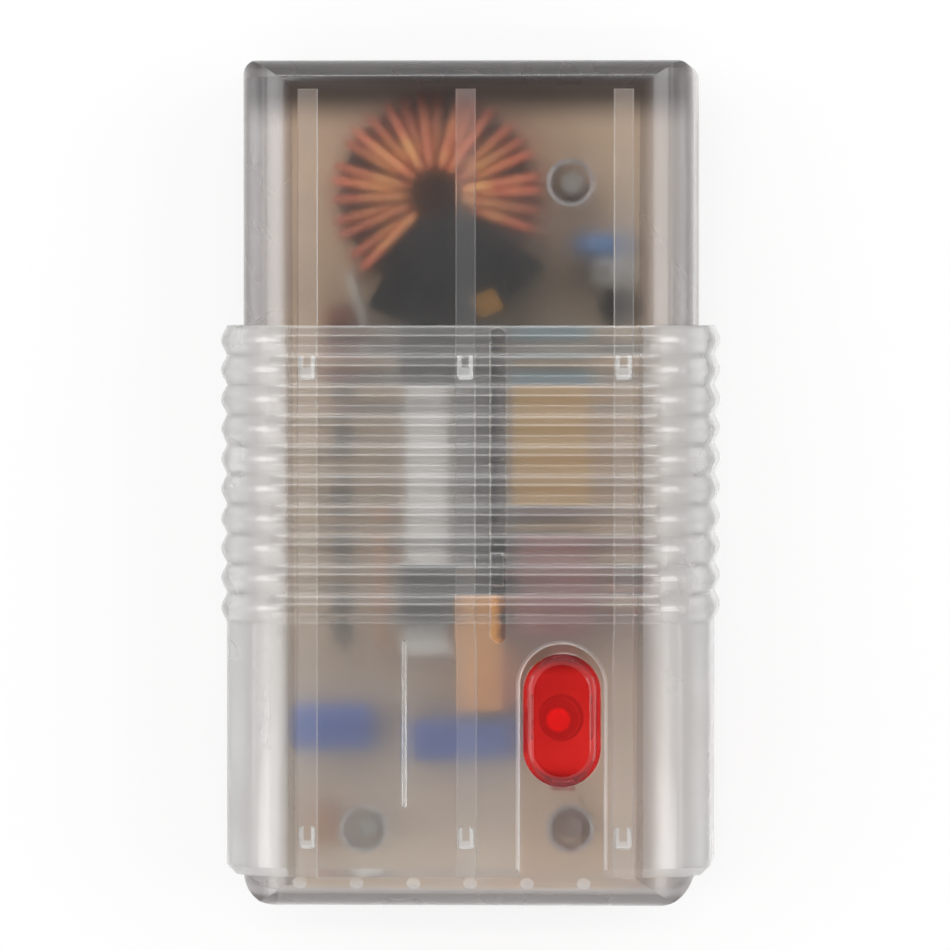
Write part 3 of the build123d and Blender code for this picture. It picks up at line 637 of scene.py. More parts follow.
# Power transistors and their leads
# Two black moulded packages lie on the heat sink, with three tinned legs each that are bent down
# to the board.
resin_black = solid_finish(
    "resin_black", (24, 23, 24), (12, 11, 12), patch=3, gloss=(0.45, 0.6), grain=(0.02, 0.3), shine=0.2
)
tinned_wire = solid_finish(
    "tinned_wire", (214, 212, 208), (186, 184, 180),
    patch=1, gloss=(0.2, 0.35), grain=(0.005, 0.2), metal=1.0,
)
dress("power_transistors", resin_black)
dress("transistor_leads", tinned_wire)

# Slide potentiometer, its wiper and the dimmer arm
# A folded steel can with a long slot, a black plastic carriage in it, and the black arm that
# reaches up through the slot of the cover into the sleeve.
can_steel = solid_finish(
    "can_steel", (120, 116, 114), (92, 88, 88), patch=4, gloss=(0.35, 0.5), grain=(0.01, 0.4), metal=0.8
)
arm_black = solid_finish(
    "arm_black", (34, 32, 32), (20, 18, 18), patch=2, gloss=(0.4, 0.55), grain=(0.02, 0.3), shine=0.2
)
dress("potentiometer_can", can_steel)
dress("potentiometer_wiper", arm_black)
dress("dimmer_arm", arm_black)

# Film capacitors
# Moulded boxes of coloured plastic filled with resin, with a shallow dish in their tops, and others
# dipped in resin, with well rounded edges. All stand in rows on the board.
box_round = 0.6 * mm
dip_round = 1.7 * mm
dish_rim = 0.9 * mm
dish_depth = 0.2 * mm


def block(corner, opposite):
    """Plain block between two corners, for shaping, or for adding to or cutting from a piece."""
    start_piece()
    bpy.ops.mesh.primitive_cube_add(size=1)
    tool = bpy.context.object
    tool.scale = [abs(b - a) for a, b in zip(corner, opposite)]
    tool.location = middle_of(corner, opposite)
    settle()
    return tool


touch = 0.02 * mm
upright_share = 0.99


def pick(kind, members, wanted):
    """In edit mode, select those points, edges or faces of a piece that pass a test."""
    bpy.ops.mesh.select_all(action="DESELECT")
    bpy.ops.mesh.select_mode(type=kind)
    object_mode()
    for member in members:
        member.select = wanted(member)
    edit_mode()


def pick_level_faces(piece, height):
    """In edit mode, select the faces that lie flat at one height."""

    def level(face):
        return abs(face.center.z - height) < touch and abs(face.normal.z) > upright_share

    pick("FACE", piece.data.polygons, level)


def film_capacitor(node, slot, light, dark, dipped):
    """Capacitor in the place of a packed one, with its own colour."""
    low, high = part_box(node)
    piece = block(low, high)
    piece.name = "film_" + node
    if not dipped:
        edit_mode()
        pick_level_faces(piece, high[2])
        bpy.ops.mesh.inset(thickness=dish_rim)
        bpy.ops.transform.translate(value=(0, 0, -dish_depth))
        object_mode()
    soften(piece, dip_round if dipped else box_round, segments=5)
    stands_for(piece, node, slot, solid_finish(slot, light, dark, patch=5, grain=(0.015, 0.4)))


film_capacitor("resonance_capacitor", "box_yellow", (214, 166, 72), (196, 146, 60), dipped=False)
film_capacitor("snubber_capacitor", "box_tan", (255, 178, 84), (240, 158, 70), dipped=False)
film_capacitor("coupling_capacitor", "box_teal", (70, 118, 134), (54, 98, 114), dipped=False)
film_capacitor("smoothing_capacitor", "resin_brown", (156, 82, 76), (134, 64, 62), dipped=True)
film_capacitor("bridge_capacitor", "box_blue", (0, 92, 206), (0, 72, 178), dipped=True)
film_capacitor("mains_capacitor", "box_blue", (0, 92, 206), (0, 72, 178), dipped=True)

# Electrolytic capacitor
# Aluminium can in a black shrunk sleeve that is rolled over its top, with a bead pressed in near
# its foot.
timing_low, timing_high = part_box("timing_capacitor")
timing_middle = middle_of(timing_low[:2], timing_high[:2]) + [timing_low[2]]
timing_radius = (timing_high[0] - timing_low[0]) / 2
timing_height = timing_high[2] - timing_low[2]
timing_edge = 0.4 * mm
bead_height = 1.4 * mm
bead_width = 0.5 * mm
bead_depth = 0.3 * mm
timing_outline = [
    (0, 0),
    (0, timing_radius - timing_edge),
    (timing_edge, timing_radius),
    (bead_height - bead_width, timing_radius),
    (bead_height, timing_radius - bead_depth),
    (bead_height + bead_width, timing_radius),
    (timing_height - timing_edge, timing_radius),
    (timing_height, timing_radius - timing_edge),
    (timing_height, timing_radius - 2 * timing_edge),
    (timing_height - timing_edge / 2, timing_radius - 2 * timing_edge),
    (timing_height - timing_edge / 2, 0),
]
electrolytic = lathe("electrolytic", timing_outline, timing_middle)
can_black = solid_finish("can_black", (26, 26, 29), (14, 14, 17), patch=2, shine=0.2)
stands_for(electrolytic, "timing_capacitor", "can_black", can_black)

# Lamp terminal
# White moulded block with two square wire holes in its top, soldered to the board beside the
# outlet for the lamp lead.
terminal_white = solid_finish(
    "terminal_white", (236, 236, 232), (222, 221, 216), patch=2, gloss=(0.35, 0.5)
)
dress("lamp_terminal", terminal_white)

# Disc capacitor
# Ceramic disc dipped in blue resin, thick in the middle and thin at its edge, standing on its edge.
disc_middle, (_, disc_half, disc_radius) = measure("disc_capacitor")
disc_steps = 12
disc_fullness = 0.6
disc_outline = []
for step in range(disc_steps + 1):
    lean = math.radians(180 * step / disc_steps)
    disc_outline.append((-disc_half * math.cos(lean), disc_radius * math.sin(lean) ** disc_fullness))
disc = lathe("blue_disc", disc_outline, disc_middle, (0, 1, 0))
resin_blue = solid_finish(
    "resin_blue", (110, 170, 235), (90, 146, 214), patch=2, gloss=(0.25, 0.4), grain=(0.02, 0.4)
)
stands_for(disc, "disc_capacitor", "resin_blue", resin_blue)

# Driver ring and its winding
# A small ferrite ring that stands on its edge, with six turns of thin copper wire over its top.
driver_middle, (driver_half, _, driver_outer) = measure("driver_core")
driver_inner = 2.5 * mm
driver_round = 0.35 * mm
driver_wire = 0.6 * mm
driver_gap = 0.1 * mm
driver_turns = 6
driver_section = ring_section(driver_half, driver_inner, driver_outer)
driver_ring = lathe("driver_ring", driver_section, driver_middle, (1, 0, 0))
soften(driver_ring, driver_round)
stands_for(driver_ring, "driver_core", "ferrite", ferrite)
pattern = closed_turn(
    driver_inner - driver_gap - driver_wire / 2,
    driver_outer + driver_gap + driver_wire / 2,
    driver_half + driver_gap + driver_wire / 2,
    0,
    driver_wire,
    driver_wire,
)
turns = [copy_piece(pattern, (turn + 0.5) * 180 / driver_turns) for turn in range(driver_turns)]
bpy.data.objects.remove(pattern)
for wire in turns:
    give_tone(wire, hand.random())
driver_coil = join_pieces("driver_coil", turns)
stand_on_edge = Matrix(((0, 0, 1, 0), (1, 0, 0, 0), (0, 1, 0, 0), (0, 0, 0, 1)))
driver_coil.data.transform(Matrix.Translation(driver_middle) @ stand_on_edge)
# Painted light: this copper too is paler at the bore of its ring and darker outwards.
driver_copper = copper_finish(
    "driver_copper",
    near=(206, 112, 84),
    far=(172, 84, 62),
    middle=driver_middle,
    near_radius=driver_inner,
    far_radius=driver_outer,
)
stands_for(driver_coil, "driver_winding", "copper", driver_copper)

# Rectifier diodes
# Four black moulded cylinders with a silver band at one end, in a row on long tinned leads that
# keep their heat off the board.
diode_low, diode_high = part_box("rectifier_diodes")
diode_radius = (diode_high[0] - diode_low[0]) / 2
diode_length = 5.2 * mm
diode_step = 8.1 * mm
diode_count = 4
diode_band = (1.2 * mm, 2.0 * mm)
lead_size = 0.6 * mm
lead_run = 1.2 * mm
axial_round = 0.2 * mm
board_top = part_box("circuit_board")[1][2]
silver_band = solid_finish(
    "silver_band", (206, 206, 204), (184, 184, 182), patch=1, gloss=(0.35, 0.5), grain=(0.005, 0.2)
)


def axial_part(name, body_outline, height, length, bands):
    """Round part lying along X on two bent leads; bands are (from, to, finish number)."""
    body = lathe("body", body_outline, (0, 0, height), (1, 0, 0), steps=24)
    soften(body, axial_round, segments=2)
    for face in body.data.polygons:
        for low, high, number in bands:
            if low < face.center.x < high:
                face.material_index = number
    reach = length / 2 + lead_run - lead_size / 2
    rise = height - board_top - lead_size
    moves = [(rise, -90, lead_size), (2 * (reach - lead_size), -90, lead_size), (rise, 0, 0)]
    lead = bent_wire("lead", (-reach, 0, board_top), 90, lead_size, moves)
    for face in lead.data.polygons:
        face.material_index = 1
    return join_pieces(name, [body, lead])


def plain_body(radius, length, bands):
    """Outline of a cylinder along its axis, with points where its bands begin and end."""
    cuts = sorted({-length / 2, length / 2, *[edge for band in bands for edge in band[:2]]})
    return [(-length / 2, 0)] + [(cut, radius) for cut in cuts] + [(length / 2, 0)]


def repeat(name, pattern, turn, places):
    """Join turned copies of a pattern, one at each place, and remove the pattern."""
    copies = [copy_piece(pattern, turn, place) for place in places]
    bpy.data.objects.remove(pattern)
    return join_pieces(name, copies)


diode_bands = [(diode_band[0], diode_band[1], 2)]
diode_height = diode_high[2] - diode_radius
pattern = axial_part(
    "diode", plain_body(diode_radius, diode_length, diode_bands), diode_height, diode_length, diode_bands
)
diode_x = (diode_low[0] + diode_high[0]) / 2
diode_y = diode_high[1] - lead_run - diode_length / 2
diode_places = [(diode_x, diode_y - row * diode_step, 0) for row in range(diode_count)]
diode_group = repeat("diode_row", pattern, turn=90, places=diode_places)
stands_for(diode_group, "rectifier_diodes", "resin_black", resin_black, tinned_wire, silver_band)

# Resistors
# Four small resistors: a ceramic rod with a cap at each end, dipped in beige lacquer and marked
# with coloured rings, on tinned leads close to the board.
resistor_low, resistor_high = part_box("resistors")
resistor_length = 6.2 * mm
resistor_radius = 1.15 * mm
resistor_waist = 0.92 * mm
resistor_cap = 1.5 * mm
resistor_slope = 0.4 * mm
ring_width = 0.5 * mm
ring_places = (-1.2 * mm, -0.2 * mm, 0.8 * mm)
resistor_beige = solid_finish("resistor_beige", (208, 188, 150), (190, 168, 128), patch=2)
ring_brown = solid_finish("ring_brown", (112, 62, 40), (92, 48, 30), patch=1, grain=(0.005, 0.2))
resistor_rings = [(place, place + ring_width, 2) for place in ring_places]
resistor_end = resistor_length / 2
resistor_outline = [
    (-resistor_end, 0),
    (-resistor_end, resistor_radius),
    (-resistor_end + resistor_cap, resistor_radius),
    (-resistor_end + resistor_cap + resistor_slope, resistor_waist),
    *[(edge, resistor_waist) for ring in resistor_rings for edge in ring[:2]],
    (resistor_end - resistor_cap - resistor_slope + ring_width, resistor_waist),
    (resistor_end - resistor_cap + ring_width, resistor_radius),
    (resistor_end, resistor_radius),
    (resistor_end, 0),
]
resistor_height = resistor_high[2] - resistor_radius
pattern = axial_part("resistor", resistor_outline, resistor_height, resistor_length, resistor_rings)
resistor_inset = resistor_length / 2 + lead_run
resistor_xs = (resistor_low[0] + resistor_radius, resistor_high[0] - resistor_radius)
resistor_ys = (resistor_low[1] + resistor_inset, resistor_high[1] - resistor_inset)
resistor_places = [(x, y, 0) for x in resistor_xs for y in resistor_ys]
resistor_group = repeat("resistor_group", pattern, turn=90, places=resistor_places)
stands_for(resistor_group, "resistors", "resistor_beige", resistor_beige, tinned_wire, ring_brown)

# Input fuse
# A small fuse with a lacquered orange body and tinned leads, at the mains end of the board.
fuse_low, fuse_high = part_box("input_fuse")
fuse_length = 4.6 * mm
fuse_radius = (fuse_high[0] - fuse_low[0]) / 2
fuse_cap = 0.7 * mm
fuse_end = fuse_length / 2
fuse_caps = [(-fuse_end, fuse_cap - fuse_end, 1), (fuse_end - fuse_cap, fuse_end, 1)]
fuse_outline = plain_body(fuse_radius, fuse_length, fuse_caps)
fuse = axial_part("orange_fuse", fuse_outline, fuse_high[2] - fuse_radius, fuse_length, fuse_caps)
put(fuse, turn=90, place=middle_of(fuse_low[:2], fuse_high[:2]) + [0])
fuse_orange = solid_finish("fuse_orange", (214, 132, 70), (190, 110, 54), patch=2)
stands_for(fuse, "input_fuse", "fuse_orange", fuse_orange, tinned_wire)

# Filter choke
# An upright ferrite rod with one layer of enamelled copper wire, wound between its bare ends.
rod_middle, (_, _, rod_half) = measure("choke_core")
rod_radius = 2.0 * mm
rod_round = 0.3 * mm
rod_outline = [(-rod_half, 0), (-rod_half, rod_radius), (rod_half, rod_radius), (rod_half, 0)]
rod = lathe("choke_rod", rod_outline, rod_middle)
soften(rod, rod_round)
stands_for(rod, "choke_core", "ferrite", ferrite)
coil_low, coil_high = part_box("choke_winding")
coil_radius = (coil_high[0] - coil_low[0]) / 2
coil_inner = 2.05 * mm
coil_turns = 8
coil_pitch = (coil_high[2] - coil_low[2]) / coil_turns
coil_start = coil_low[2] - rod_middle[2]
turn_steps = 6
coil_outline = [(coil_start, coil_inner)]
for turn in range(coil_turns):
    for step in range(turn_steps + 1):
        lean = math.radians(180 * step / turn_steps)
        along_rod = coil_start + coil_pitch * (turn + 0.5 - 0.5 * math.cos(lean))
        coil_outline.append((along_rod, coil_radius - coil_pitch / 2 * (1 - math.sin(lean))))
coil_outline += [(coil_high[2] - rod_middle[2], coil_inner), (coil_start, coil_inner)]
coil = lathe("choke_coil", coil_outline, rod_middle)
stands_for(coil, "choke_winding", "copper", primary_copper)

# Link wires
# Two insulated wires bent like bridges over the board: a pale one beside the ring and an orange one
# between the heat sink and the row of diodes.
link_size = 1.1 * mm
link_bend = 1.2 * mm
link_height = 17.5 * mm
link_shade = 16
link_routes = [
    ("pale_link", (-14.9 * mm, 26.0 * mm), (-12.6 * mm, 18.5 * mm), "terminal_white", (222, 220, 214)),
    ("orange_link", (-10.9 * mm, -4.5 * mm), (-10.9 * mm, -20.0 * mm), "fuse_orange", (222, 142, 76)),
]
for name, start, end, slot, color in link_routes:
    span = math.dist(start, end)
    rise = link_height - board_top - link_bend
    moves = [(rise, -90, link_bend), (span - 2 * link_bend, -90, link_bend), (rise, 0, 0)]
    link = bent_wire(name, (0, 0, board_top), 90, link_size, moves)
    heading = math.degrees(math.atan2(end[1] - start[1], end[0] - start[0]))
    put(link, heading, (*start, 0))
    darker = [part - link_shade for part in color]
    insulation = solid_finish(name, color, darker, patch=3, gloss=(0.35, 0.5), grain=(0.01, 0.4))
    link.data.materials.append(insulation)
    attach(link, "case")

# Pilot lamp and its legs
# Round light-emitting diode cast in red epoxy, with a rim at its foot and a domed tip. A bright spot
# of painted light sits in its middle, with painted shade in dark red beyond. It stands on two tinned legs.
lamp_low, lamp_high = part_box("pilot_lamp")
lamp_middle = middle_of(lamp_low, lamp_high)
lamp_rim_radius = (lamp_high[0] - lamp_low[0]) / 2
lamp_rim_height = 1.0 * mm
lamp_rim_step = 0.4 * mm
lamp_tip = 0.1 * mm
lamp_sides = 40


def pick_edges(piece, wanted):
    """In edit mode, select the edges whose two ends are where a test wants them."""
    points = piece.data.vertices
    pick("EDGE", piece.data.edges, lambda edge: all(wanted(points[v].co) for v in edge.vertices))


def upright_cylinder(name, sides, radius, depth, middle):
    """Plain cylinder that stands along Z, for shaping or for cutting from a piece."""
    start_piece()
    bpy.ops.mesh.primitive_cylinder_add(vertices=sides, radius=radius, depth=depth, location=middle)
    settle()
    bpy.context.object.name = name
    return bpy.context.object


lamp_foot = (lamp_middle[0], lamp_middle[1], lamp_low[2] + lamp_rim_height / 2)
lamp = upright_cylinder("red_lamp", lamp_sides, lamp_rim_radius, lamp_rim_height, lamp_foot)
edit_mode()
pick_level_faces(lamp, lamp_low[2] + lamp_rim_height)
bpy.ops.mesh.inset(thickness=lamp_rim_step)
lamp_body = lamp_high[2] - lamp_low[2] - lamp_rim_height
push((0, 0, lamp_body))
pick_edges(lamp, lambda place: abs(place.z - lamp_high[2]) < touch)
lamp_dome = lamp_rim_radius - lamp_rim_step - lamp_tip
bpy.ops.mesh.bevel(offset=lamp_dome, segments=10, profile=0.5)
object_mode()
smooth(35)
lamp_red = solid_finish(
    "lamp_red", (255, 110, 84), (250, 90, 70), patch=3, gloss=(0.1, 0.2), grain=(0.003, 0.3)
)
# Painted light and shade on the lamp: bright red in the middle, dark red beyond it.
painted_glow_radius = 1.25 * mm
painted_glow_edge = 1.65 * mm
outside_painted_glow = outward(lamp_red, lamp_middle, painted_glow_radius, painted_glow_edge)
blend_color(lamp_red, base_color(lamp_red), (96, 8, 12), outside_painted_glow)
stands_for(lamp, "pilot_lamp", "lamp_red", lamp_red)
dress("pilot_lamp_legs", tinned_wire)

# Cover of the case
# The upper half, moulded in the same clear plastic, with three rails for the sleeve on its top, six
# round marks sunk into its near end and three screw bosses below. The mould leaves the rails, the
# marks and the bosses more frosted than the rest.
cover_low, cover_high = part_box("cover_shell")
rail_height = 0.35 * mm
cover_wall = 2.0 * mm
boss_reach = 2.6 * mm
boss_depth = 10 * mm
boss_places = [(12.9 * mm, 37.3 * mm), (-12.9 * mm, -42.9 * mm), (12.9 * mm, -42.9 * mm)]


def combine(piece, tool, operation):
    """Add a shape to a piece or cut it out, and remove the shape."""
    take(piece)
    step = piece.modifiers.new("combine", "BOOLEAN")
    step.operation = operation
    step.solver = "EXACT"
    step.object = tool
    bpy.ops.object.modifier_apply(modifier=step.name)
    bpy.data.objects.remove(tool)


cover = bpy.data.objects.new("clear_cover", bpy.data.objects["cover_shell"].data.copy())
cover.data.materials.clear()
bpy.context.collection.objects.link(cover)
take(cover)
bpy.ops.mesh.customdata_custom_splitnormals_clear()
edit_mode()
merge_all()
object_mode()

mark_count = 6
mark_first = -20.6 * mm
mark_pitch = 7.05 * mm
mark_radius = 2.0 * mm
mark_depth = 0.3 * mm
mark_inset = 2.6 * mm
mark_y = cover_low[1] + mark_inset
mark_z = cover_high[2] - rail_height - mark_depth + mark_radius
mark_places = [Vector((mark_first + mark * mark_pitch, mark_y, mark_z)) for mark in range(mark_count)]
marks = []
for place in mark_places:
    start_piece()
    bpy.ops.mesh.primitive_uv_sphere_add(segments=48, ring_count=32, radius=mark_radius, location=place)
    settle()
    marks.append(bpy.context.object)
combine(cover, join_pieces("marks", marks), "DIFFERENCE")
root_inner = 2.35 * mm
root_outer = 3.0 * mm
root_depth = 0.6 * mm
cover_inside = cover_high[2] - rail_height - cover_wall
root_section = [(touch, root_inner), (touch, root_outer), (-root_depth, root_inner), (touch, root_inner)]
roots = []
for place in boss_places:
    roots.append(lathe("root", root_section, (*place, cover_inside)))
combine(cover, join_pieces("roots", roots), "UNION")
rail_bevel = 0.25 * mm
edit_mode()
pick_level_faces(cover, cover_high[2])
bpy.ops.mesh.dissolve_limited(angle_limit=math.radians(1))
pick_level_faces(cover, cover_high[2])
bpy.ops.mesh.region_to_loop()
bpy.ops.mesh.bevel(offset=rail_bevel, segments=2, profile=0.5)
object_mode()
smooth()
flats = cover.modifiers.new("flats", "WEIGHTED_NORMAL")
flats.keep_sharp = True
bpy.ops.object.modifier_apply(modifier=flats.name)
rail_frost, mark_frost = [
    clear_finish(
        name, (240, 240, 240), (228, 228, 229), patch=5, gloss=(0.4, 0.5), grain=(0.02, 0.5),
        clear=clear, shade=(244, 244, 244),
    )
    for name, clear in (("rail_frost", 0.967), ("mark_frost", 0.8))
]
boss_frost = clear_finish(
    "boss_frost", (198, 194, 201), (184, 180, 187), patch=3, gloss=(0.4, 0.5), grain=(0.02, 0.5),
    clear=0.3, shade=(246, 246, 246),
)
# Painted shade: a darker grey plastic on the shoulders and both ends of the cover, with the far-end painted
# shade laid over it too.
shoulder_painted_shade = clear_finish(
    "shoulder_painted_shade", (198, 194, 194), (188, 184, 184), patch=14, gloss=(0.24, 0.32), grain=(0.01, 0.6),
    clear=0.95, shade=(250, 249, 248), coat=0.4,
)
paint_far_end_shade(shoulder_painted_shade)
stands_for(
    cover, "cover_shell", "case_plastic", case_plastic, rail_frost, mark_frost, boss_frost, shoulder_painted_shade
)
# Faces that take the plastic with painted shade: the shoulders and both ends of the cover.
shoulder_start = 21.3 * mm
far_shoulder_depth = 3.0 * mm
near_shoulder_depth = 1.5 * mm
far_shoulder = cover_high[1] - far_shoulder_depth
near_shoulder = cover_low[1] + near_shoulder_depth
for face in cover.data.polygons:
    from_bosses = [math.dist(face.center[:2], place) for place in boss_places]
    from_marks = [(face.center - place).length for place in mark_places]
    on_root = cover_inside - root_depth < face.center.z < cover_inside - touch
    if face.center.z > cover_high[2] - rail_height + touch:
        face.material_index = 1
    elif min(from_marks) < mark_radius + touch or on_root and min(from_bosses) < root_outer:
        face.material_index = 2
    elif face.center.z < cover_low[2] + boss_depth and min(from_bosses) < boss_reach:
        face.material_index = 3
    elif abs(face.center.x) > shoulder_start or not near_shoulder < face.center.y < far_shoulder:
        face.material_index = 4

# Pilot lens
# Red clear plastic, moulded hollow, with a broad bevel round its flat top.
# A tab at each end holds it from below in the window of the cover.
lens_low, lens_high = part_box("pilot_lens")
lens_middle = middle_of(lens_low, lens_high)
lens_tab = 0.6 * mm
lens_tab_width = 3.0 * mm
lens_tab_thickness = 1.2 * mm
lens_bevel_width = 1.3 * mm
lens_bevel_height = 1.0 * mm
lens_wall = 1.2 * mm
lens_round = 0.2 * mm
lens_sides = 62
lens_radius = (lens_high[0] - lens_low[0]) / 2
lens_stretch = (lens_high[1] - lens_low[1]) / 2 - lens_tab - lens_radius
lens_body = lens_high[2] - lens_bevel_height - lens_low[2]
lens_foot = (lens_middle[0], lens_middle[1], lens_low[2] + lens_body / 2)
lens = upright_cylinder("red_lens", lens_sides, lens_radius, lens_body, lens_foot)
for point in lens.data.vertices:
    point.co.y += math.copysign(lens_stretch, point.co.y - lens_middle[1])
edit_mode()
pick_level_faces(lens, lens_low[2] + lens_body)
bpy.ops.mesh.inset(thickness=lens_bevel_width)
bpy.ops.transform.translate(value=(0, 0, lens_bevel_height))
pick_level_faces(lens, lens_low[2])
bpy.ops.mesh.inset(thickness=lens_wall)
lens_hollow = lens_body - lens_wall / 2
push((0, 0, lens_hollow))
object_mode()
for side, tip in ((-1, lens_low[1]), (1, lens_high[1])):
    root = tip - side * (lens_tab + lens_wall / 2)
    tab = block(
        (lens_middle[0] - lens_tab_width / 2, tip, lens_low[2]),
        (lens_middle[0] + lens_tab_width / 2, root, lens_low[2] + lens_tab_thickness),
    )
    combine(lens, tab, "UNION")
soften(lens, lens_round)
lens_red = clear_finish(
    "lens_red", (246, 58, 56), (234, 46, 46), patch=6, gloss=(0.06, 0.12), grain=(0.003, 0.5),
    clear=0.78, shade=(255, 150, 150),
)
lens_end = lens_radius + lens_stretch
# Painted shade: the lens turns dark red towards both of its ends.
lens_shade_start = 5.4 * mm
for side in (-1, 1):
    lens_shade_place = lens_middle[1] + side * lens_shade_start
    lens_shade_mask = along(lens_red, "Y", lens_shade_place, lens_middle[1] + side * lens_end)
    blend_color(lens_red, base_color(lens_red), (140, 8, 18), lens_shade_mask)
lens_thin = clear_finish(
    "lens_thin", (240, 205, 200), (232, 194, 190), patch=6, gloss=(0.2, 0.3), grain=(0.003, 0.5),
    clear=1.0, shade=(255, 236, 234),
)
stands_for(lens, "pilot_lens", "lens_red", lens_red, lens_thin)
for face in lens.data.polygons:
    if abs(face.center.y - lens_middle[1]) > lens_end - touch:
        face.material_index = 1

# Sliding sleeve
# Clear glossy plastic, moulded in one piece: a ribbed wall over the top and both sides of the case,
# with lips that run in its grooves and a notch that clears the lens. Hollow pips, a thin guide rib
# and a pocket for the dimmer arm are on the underside of its top.
sleeve_low, sleeve_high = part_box("slider_sleeve")
sleeve_wall = 1.7 * mm
rib_count = 10
rib_pitch = 3.7 * mm
rib_height = 0.7 * mm
rib_points = 12
rib_sharpness = 1.4
sleeve_shoulder = 7.35 * mm
shoulder_steps = 14
sleeve_end_bevel = 1.1 * mm
sleeve_inside = sleeve_high[0] - rib_height - sleeve_wall
sleeve_underside = sleeve_high[2] - rib_height - sleeve_wall
rib_zone = rib_count * rib_pitch


def rib_wave(distance):
    """Height of the rib at a distance from the far end: round crests with narrow valleys."""
    swing = abs(math.sin(math.pi * distance / rib_pitch))
    return rib_height * swing ** rib_sharpness


start_piece()
bpy.ops.mesh.primitive_grid_add(x_subdivisions=1, y_subdivisions=rib_count * rib_points, size=1)
sleeve = bpy.context.object
sleeve.name = "ribbed_sleeve"
sleeve.scale = (sleeve_wall, rib_zone, 1)
sleeve.location = (-sleeve_inside - sleeve_wall / 2, sleeve_high[1] - rib_zone / 2, sleeve_low[2])
settle()
for point in sleeve.data.vertices:
    if point.co.x < -sleeve_inside - sleeve_wall / 2:
        point.co.x -= rib_wave(sleeve_high[1] - point.co.y)
plain_run = sleeve_high[1] - sleeve_low[1] - rib_zone - sleeve_end_bevel
nearest = min(point.co.y for point in sleeve.data.vertices)
edit_mode()
pick("VERT", sleeve.data.vertices, lambda point: point.co.y < nearest + touch)
push((0, -plain_run, 0))
push((0, -sleeve_end_bevel, 0))
object_mode()
y_first = 1000
outer_corner = min(sleeve.data.vertices, key=lambda point: point.co.y * y_first + point.co.x)
outer_corner.co.x += sleeve_end_bevel
edit_mode()
bpy.ops.mesh.select_all(action="SELECT")
bpy.ops.mesh.region_to_loop()
side_run = sleeve_underside - sleeve_shoulder - sleeve_low[2]
top_run = 2 * (sleeve_inside - sleeve_shoulder)
push((0, 0, side_run))
for side in (-1, 1):
    middle = (side * (sleeve_inside - sleeve_shoulder), 0, sleeve_underside - sleeve_shoulder)
    bpy.ops.mesh.spin(steps=shoulder_steps, angle=math.pi / 2, center=middle, axis=(0, -1, 0))
    onward = (top_run, 0, 0) if side < 0 else (0, 0, -side_run)
    push(onward)
bpy.ops.mesh.edge_face_add()
merge_all()
bpy.ops.mesh.normals_make_consistent(inside=False)
object_mode()

lip_reach = 1.35 * mm
lip_height = 1.5 * mm
for side in (-1, 1):
    lip = block(
        (side * (sleeve_inside - lip_reach), sleeve_low[1], sleeve_low[2]),
        (side * (sleeve_inside + sleeve_wall / 2), sleeve_high[1], sleeve_low[2] + lip_height),
    )
    combine(sleeve, lip, "UNION")

pip_size = (2.0 * mm, 2.8 * mm, 0.4 * mm)
pip_gap = (0.9 * mm, 1.8 * mm)
pip_columns = (-19.6 * mm, 0.0, 19.6 * mm)
pip_insets = (5.0 * mm, 4.9 * mm)
pip_rows = (sleeve_high[1] - pip_insets[0], sleeve_low[1] + pip_insets[1])
pip_round = 0.5 * mm
pip_low = sleeve_underside - pip_size[2]
pip_high = sleeve_underside + sleeve_wall / 2
pip = block((-pip_size[0] / 2, -pip_size[1] / 2, pip_low), (pip_size[0] / 2, pip_size[1] / 2, pip_high))
soften(pip, pip_round, segments=5)
hollow = block(
    (-pip_gap[0] / 2, pip_size[1] / 2 - pip_gap[1], pip_low - pip_size[2]),
    (pip_gap[0] / 2, pip_size[1], sleeve_underside + sleeve_wall / 4),
)
combine(pip, hollow, "DIFFERENCE")
pips = repeat("pips", pip, turn=0, places=[(x, y, 0) for x in pip_columns for y in pip_rows])
guide_x = -7.6 * mm
guide_half = 0.3 * mm
guide_round = 0.28 * mm
guide_ends = (-40.0 * mm, -19.3 * mm)
guide = block((guide_x - guide_half, guide_ends[0], pip_low), (guide_x + guide_half, guide_ends[1], pip_high))
soften(guide, guide_round, segments=5)
combine(sleeve, join_pieces("pips", [pips, guide]), "UNION")

arm_low, arm_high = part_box("dimmer_arm")
arm_fit = 0.1 * mm
blade_x = 4.0 * mm
blade_half = (0.65 * mm, 1.9 * mm)
arm_y = (arm_low[1] + arm_high[1]) / 2
pocket = block(
    (blade_x - blade_half[0] - arm_fit, arm_y - blade_half[1] - arm_fit, sleeve_underside - sleeve_wall),
    (blade_x + blade_half[0] + arm_fit, arm_y + blade_half[1] + arm_fit, arm_high[2] + arm_fit),
)
combine(sleeve, pocket, "DIFFERENCE")

notch_radius = 5.2 * mm
notch_gap = 1.2 * mm
notch_depth = 8 * mm
lens_far = lens_high[1] - lens_tab
notch_arch_y = lens_far + notch_gap - notch_radius
notch_middle = (lens_middle[0], notch_arch_y, sleeve_underside + sleeve_wall / 2)
notch = upright_cylinder("notch", lens_sides, notch_radius, notch_depth, notch_middle)
for point in notch.data.vertices:
    if point.co.y < notch_arch_y:
        point.co.y -= sleeve_high[1] - sleeve_low[1]
combine(sleeve, notch, "DIFFERENCE")

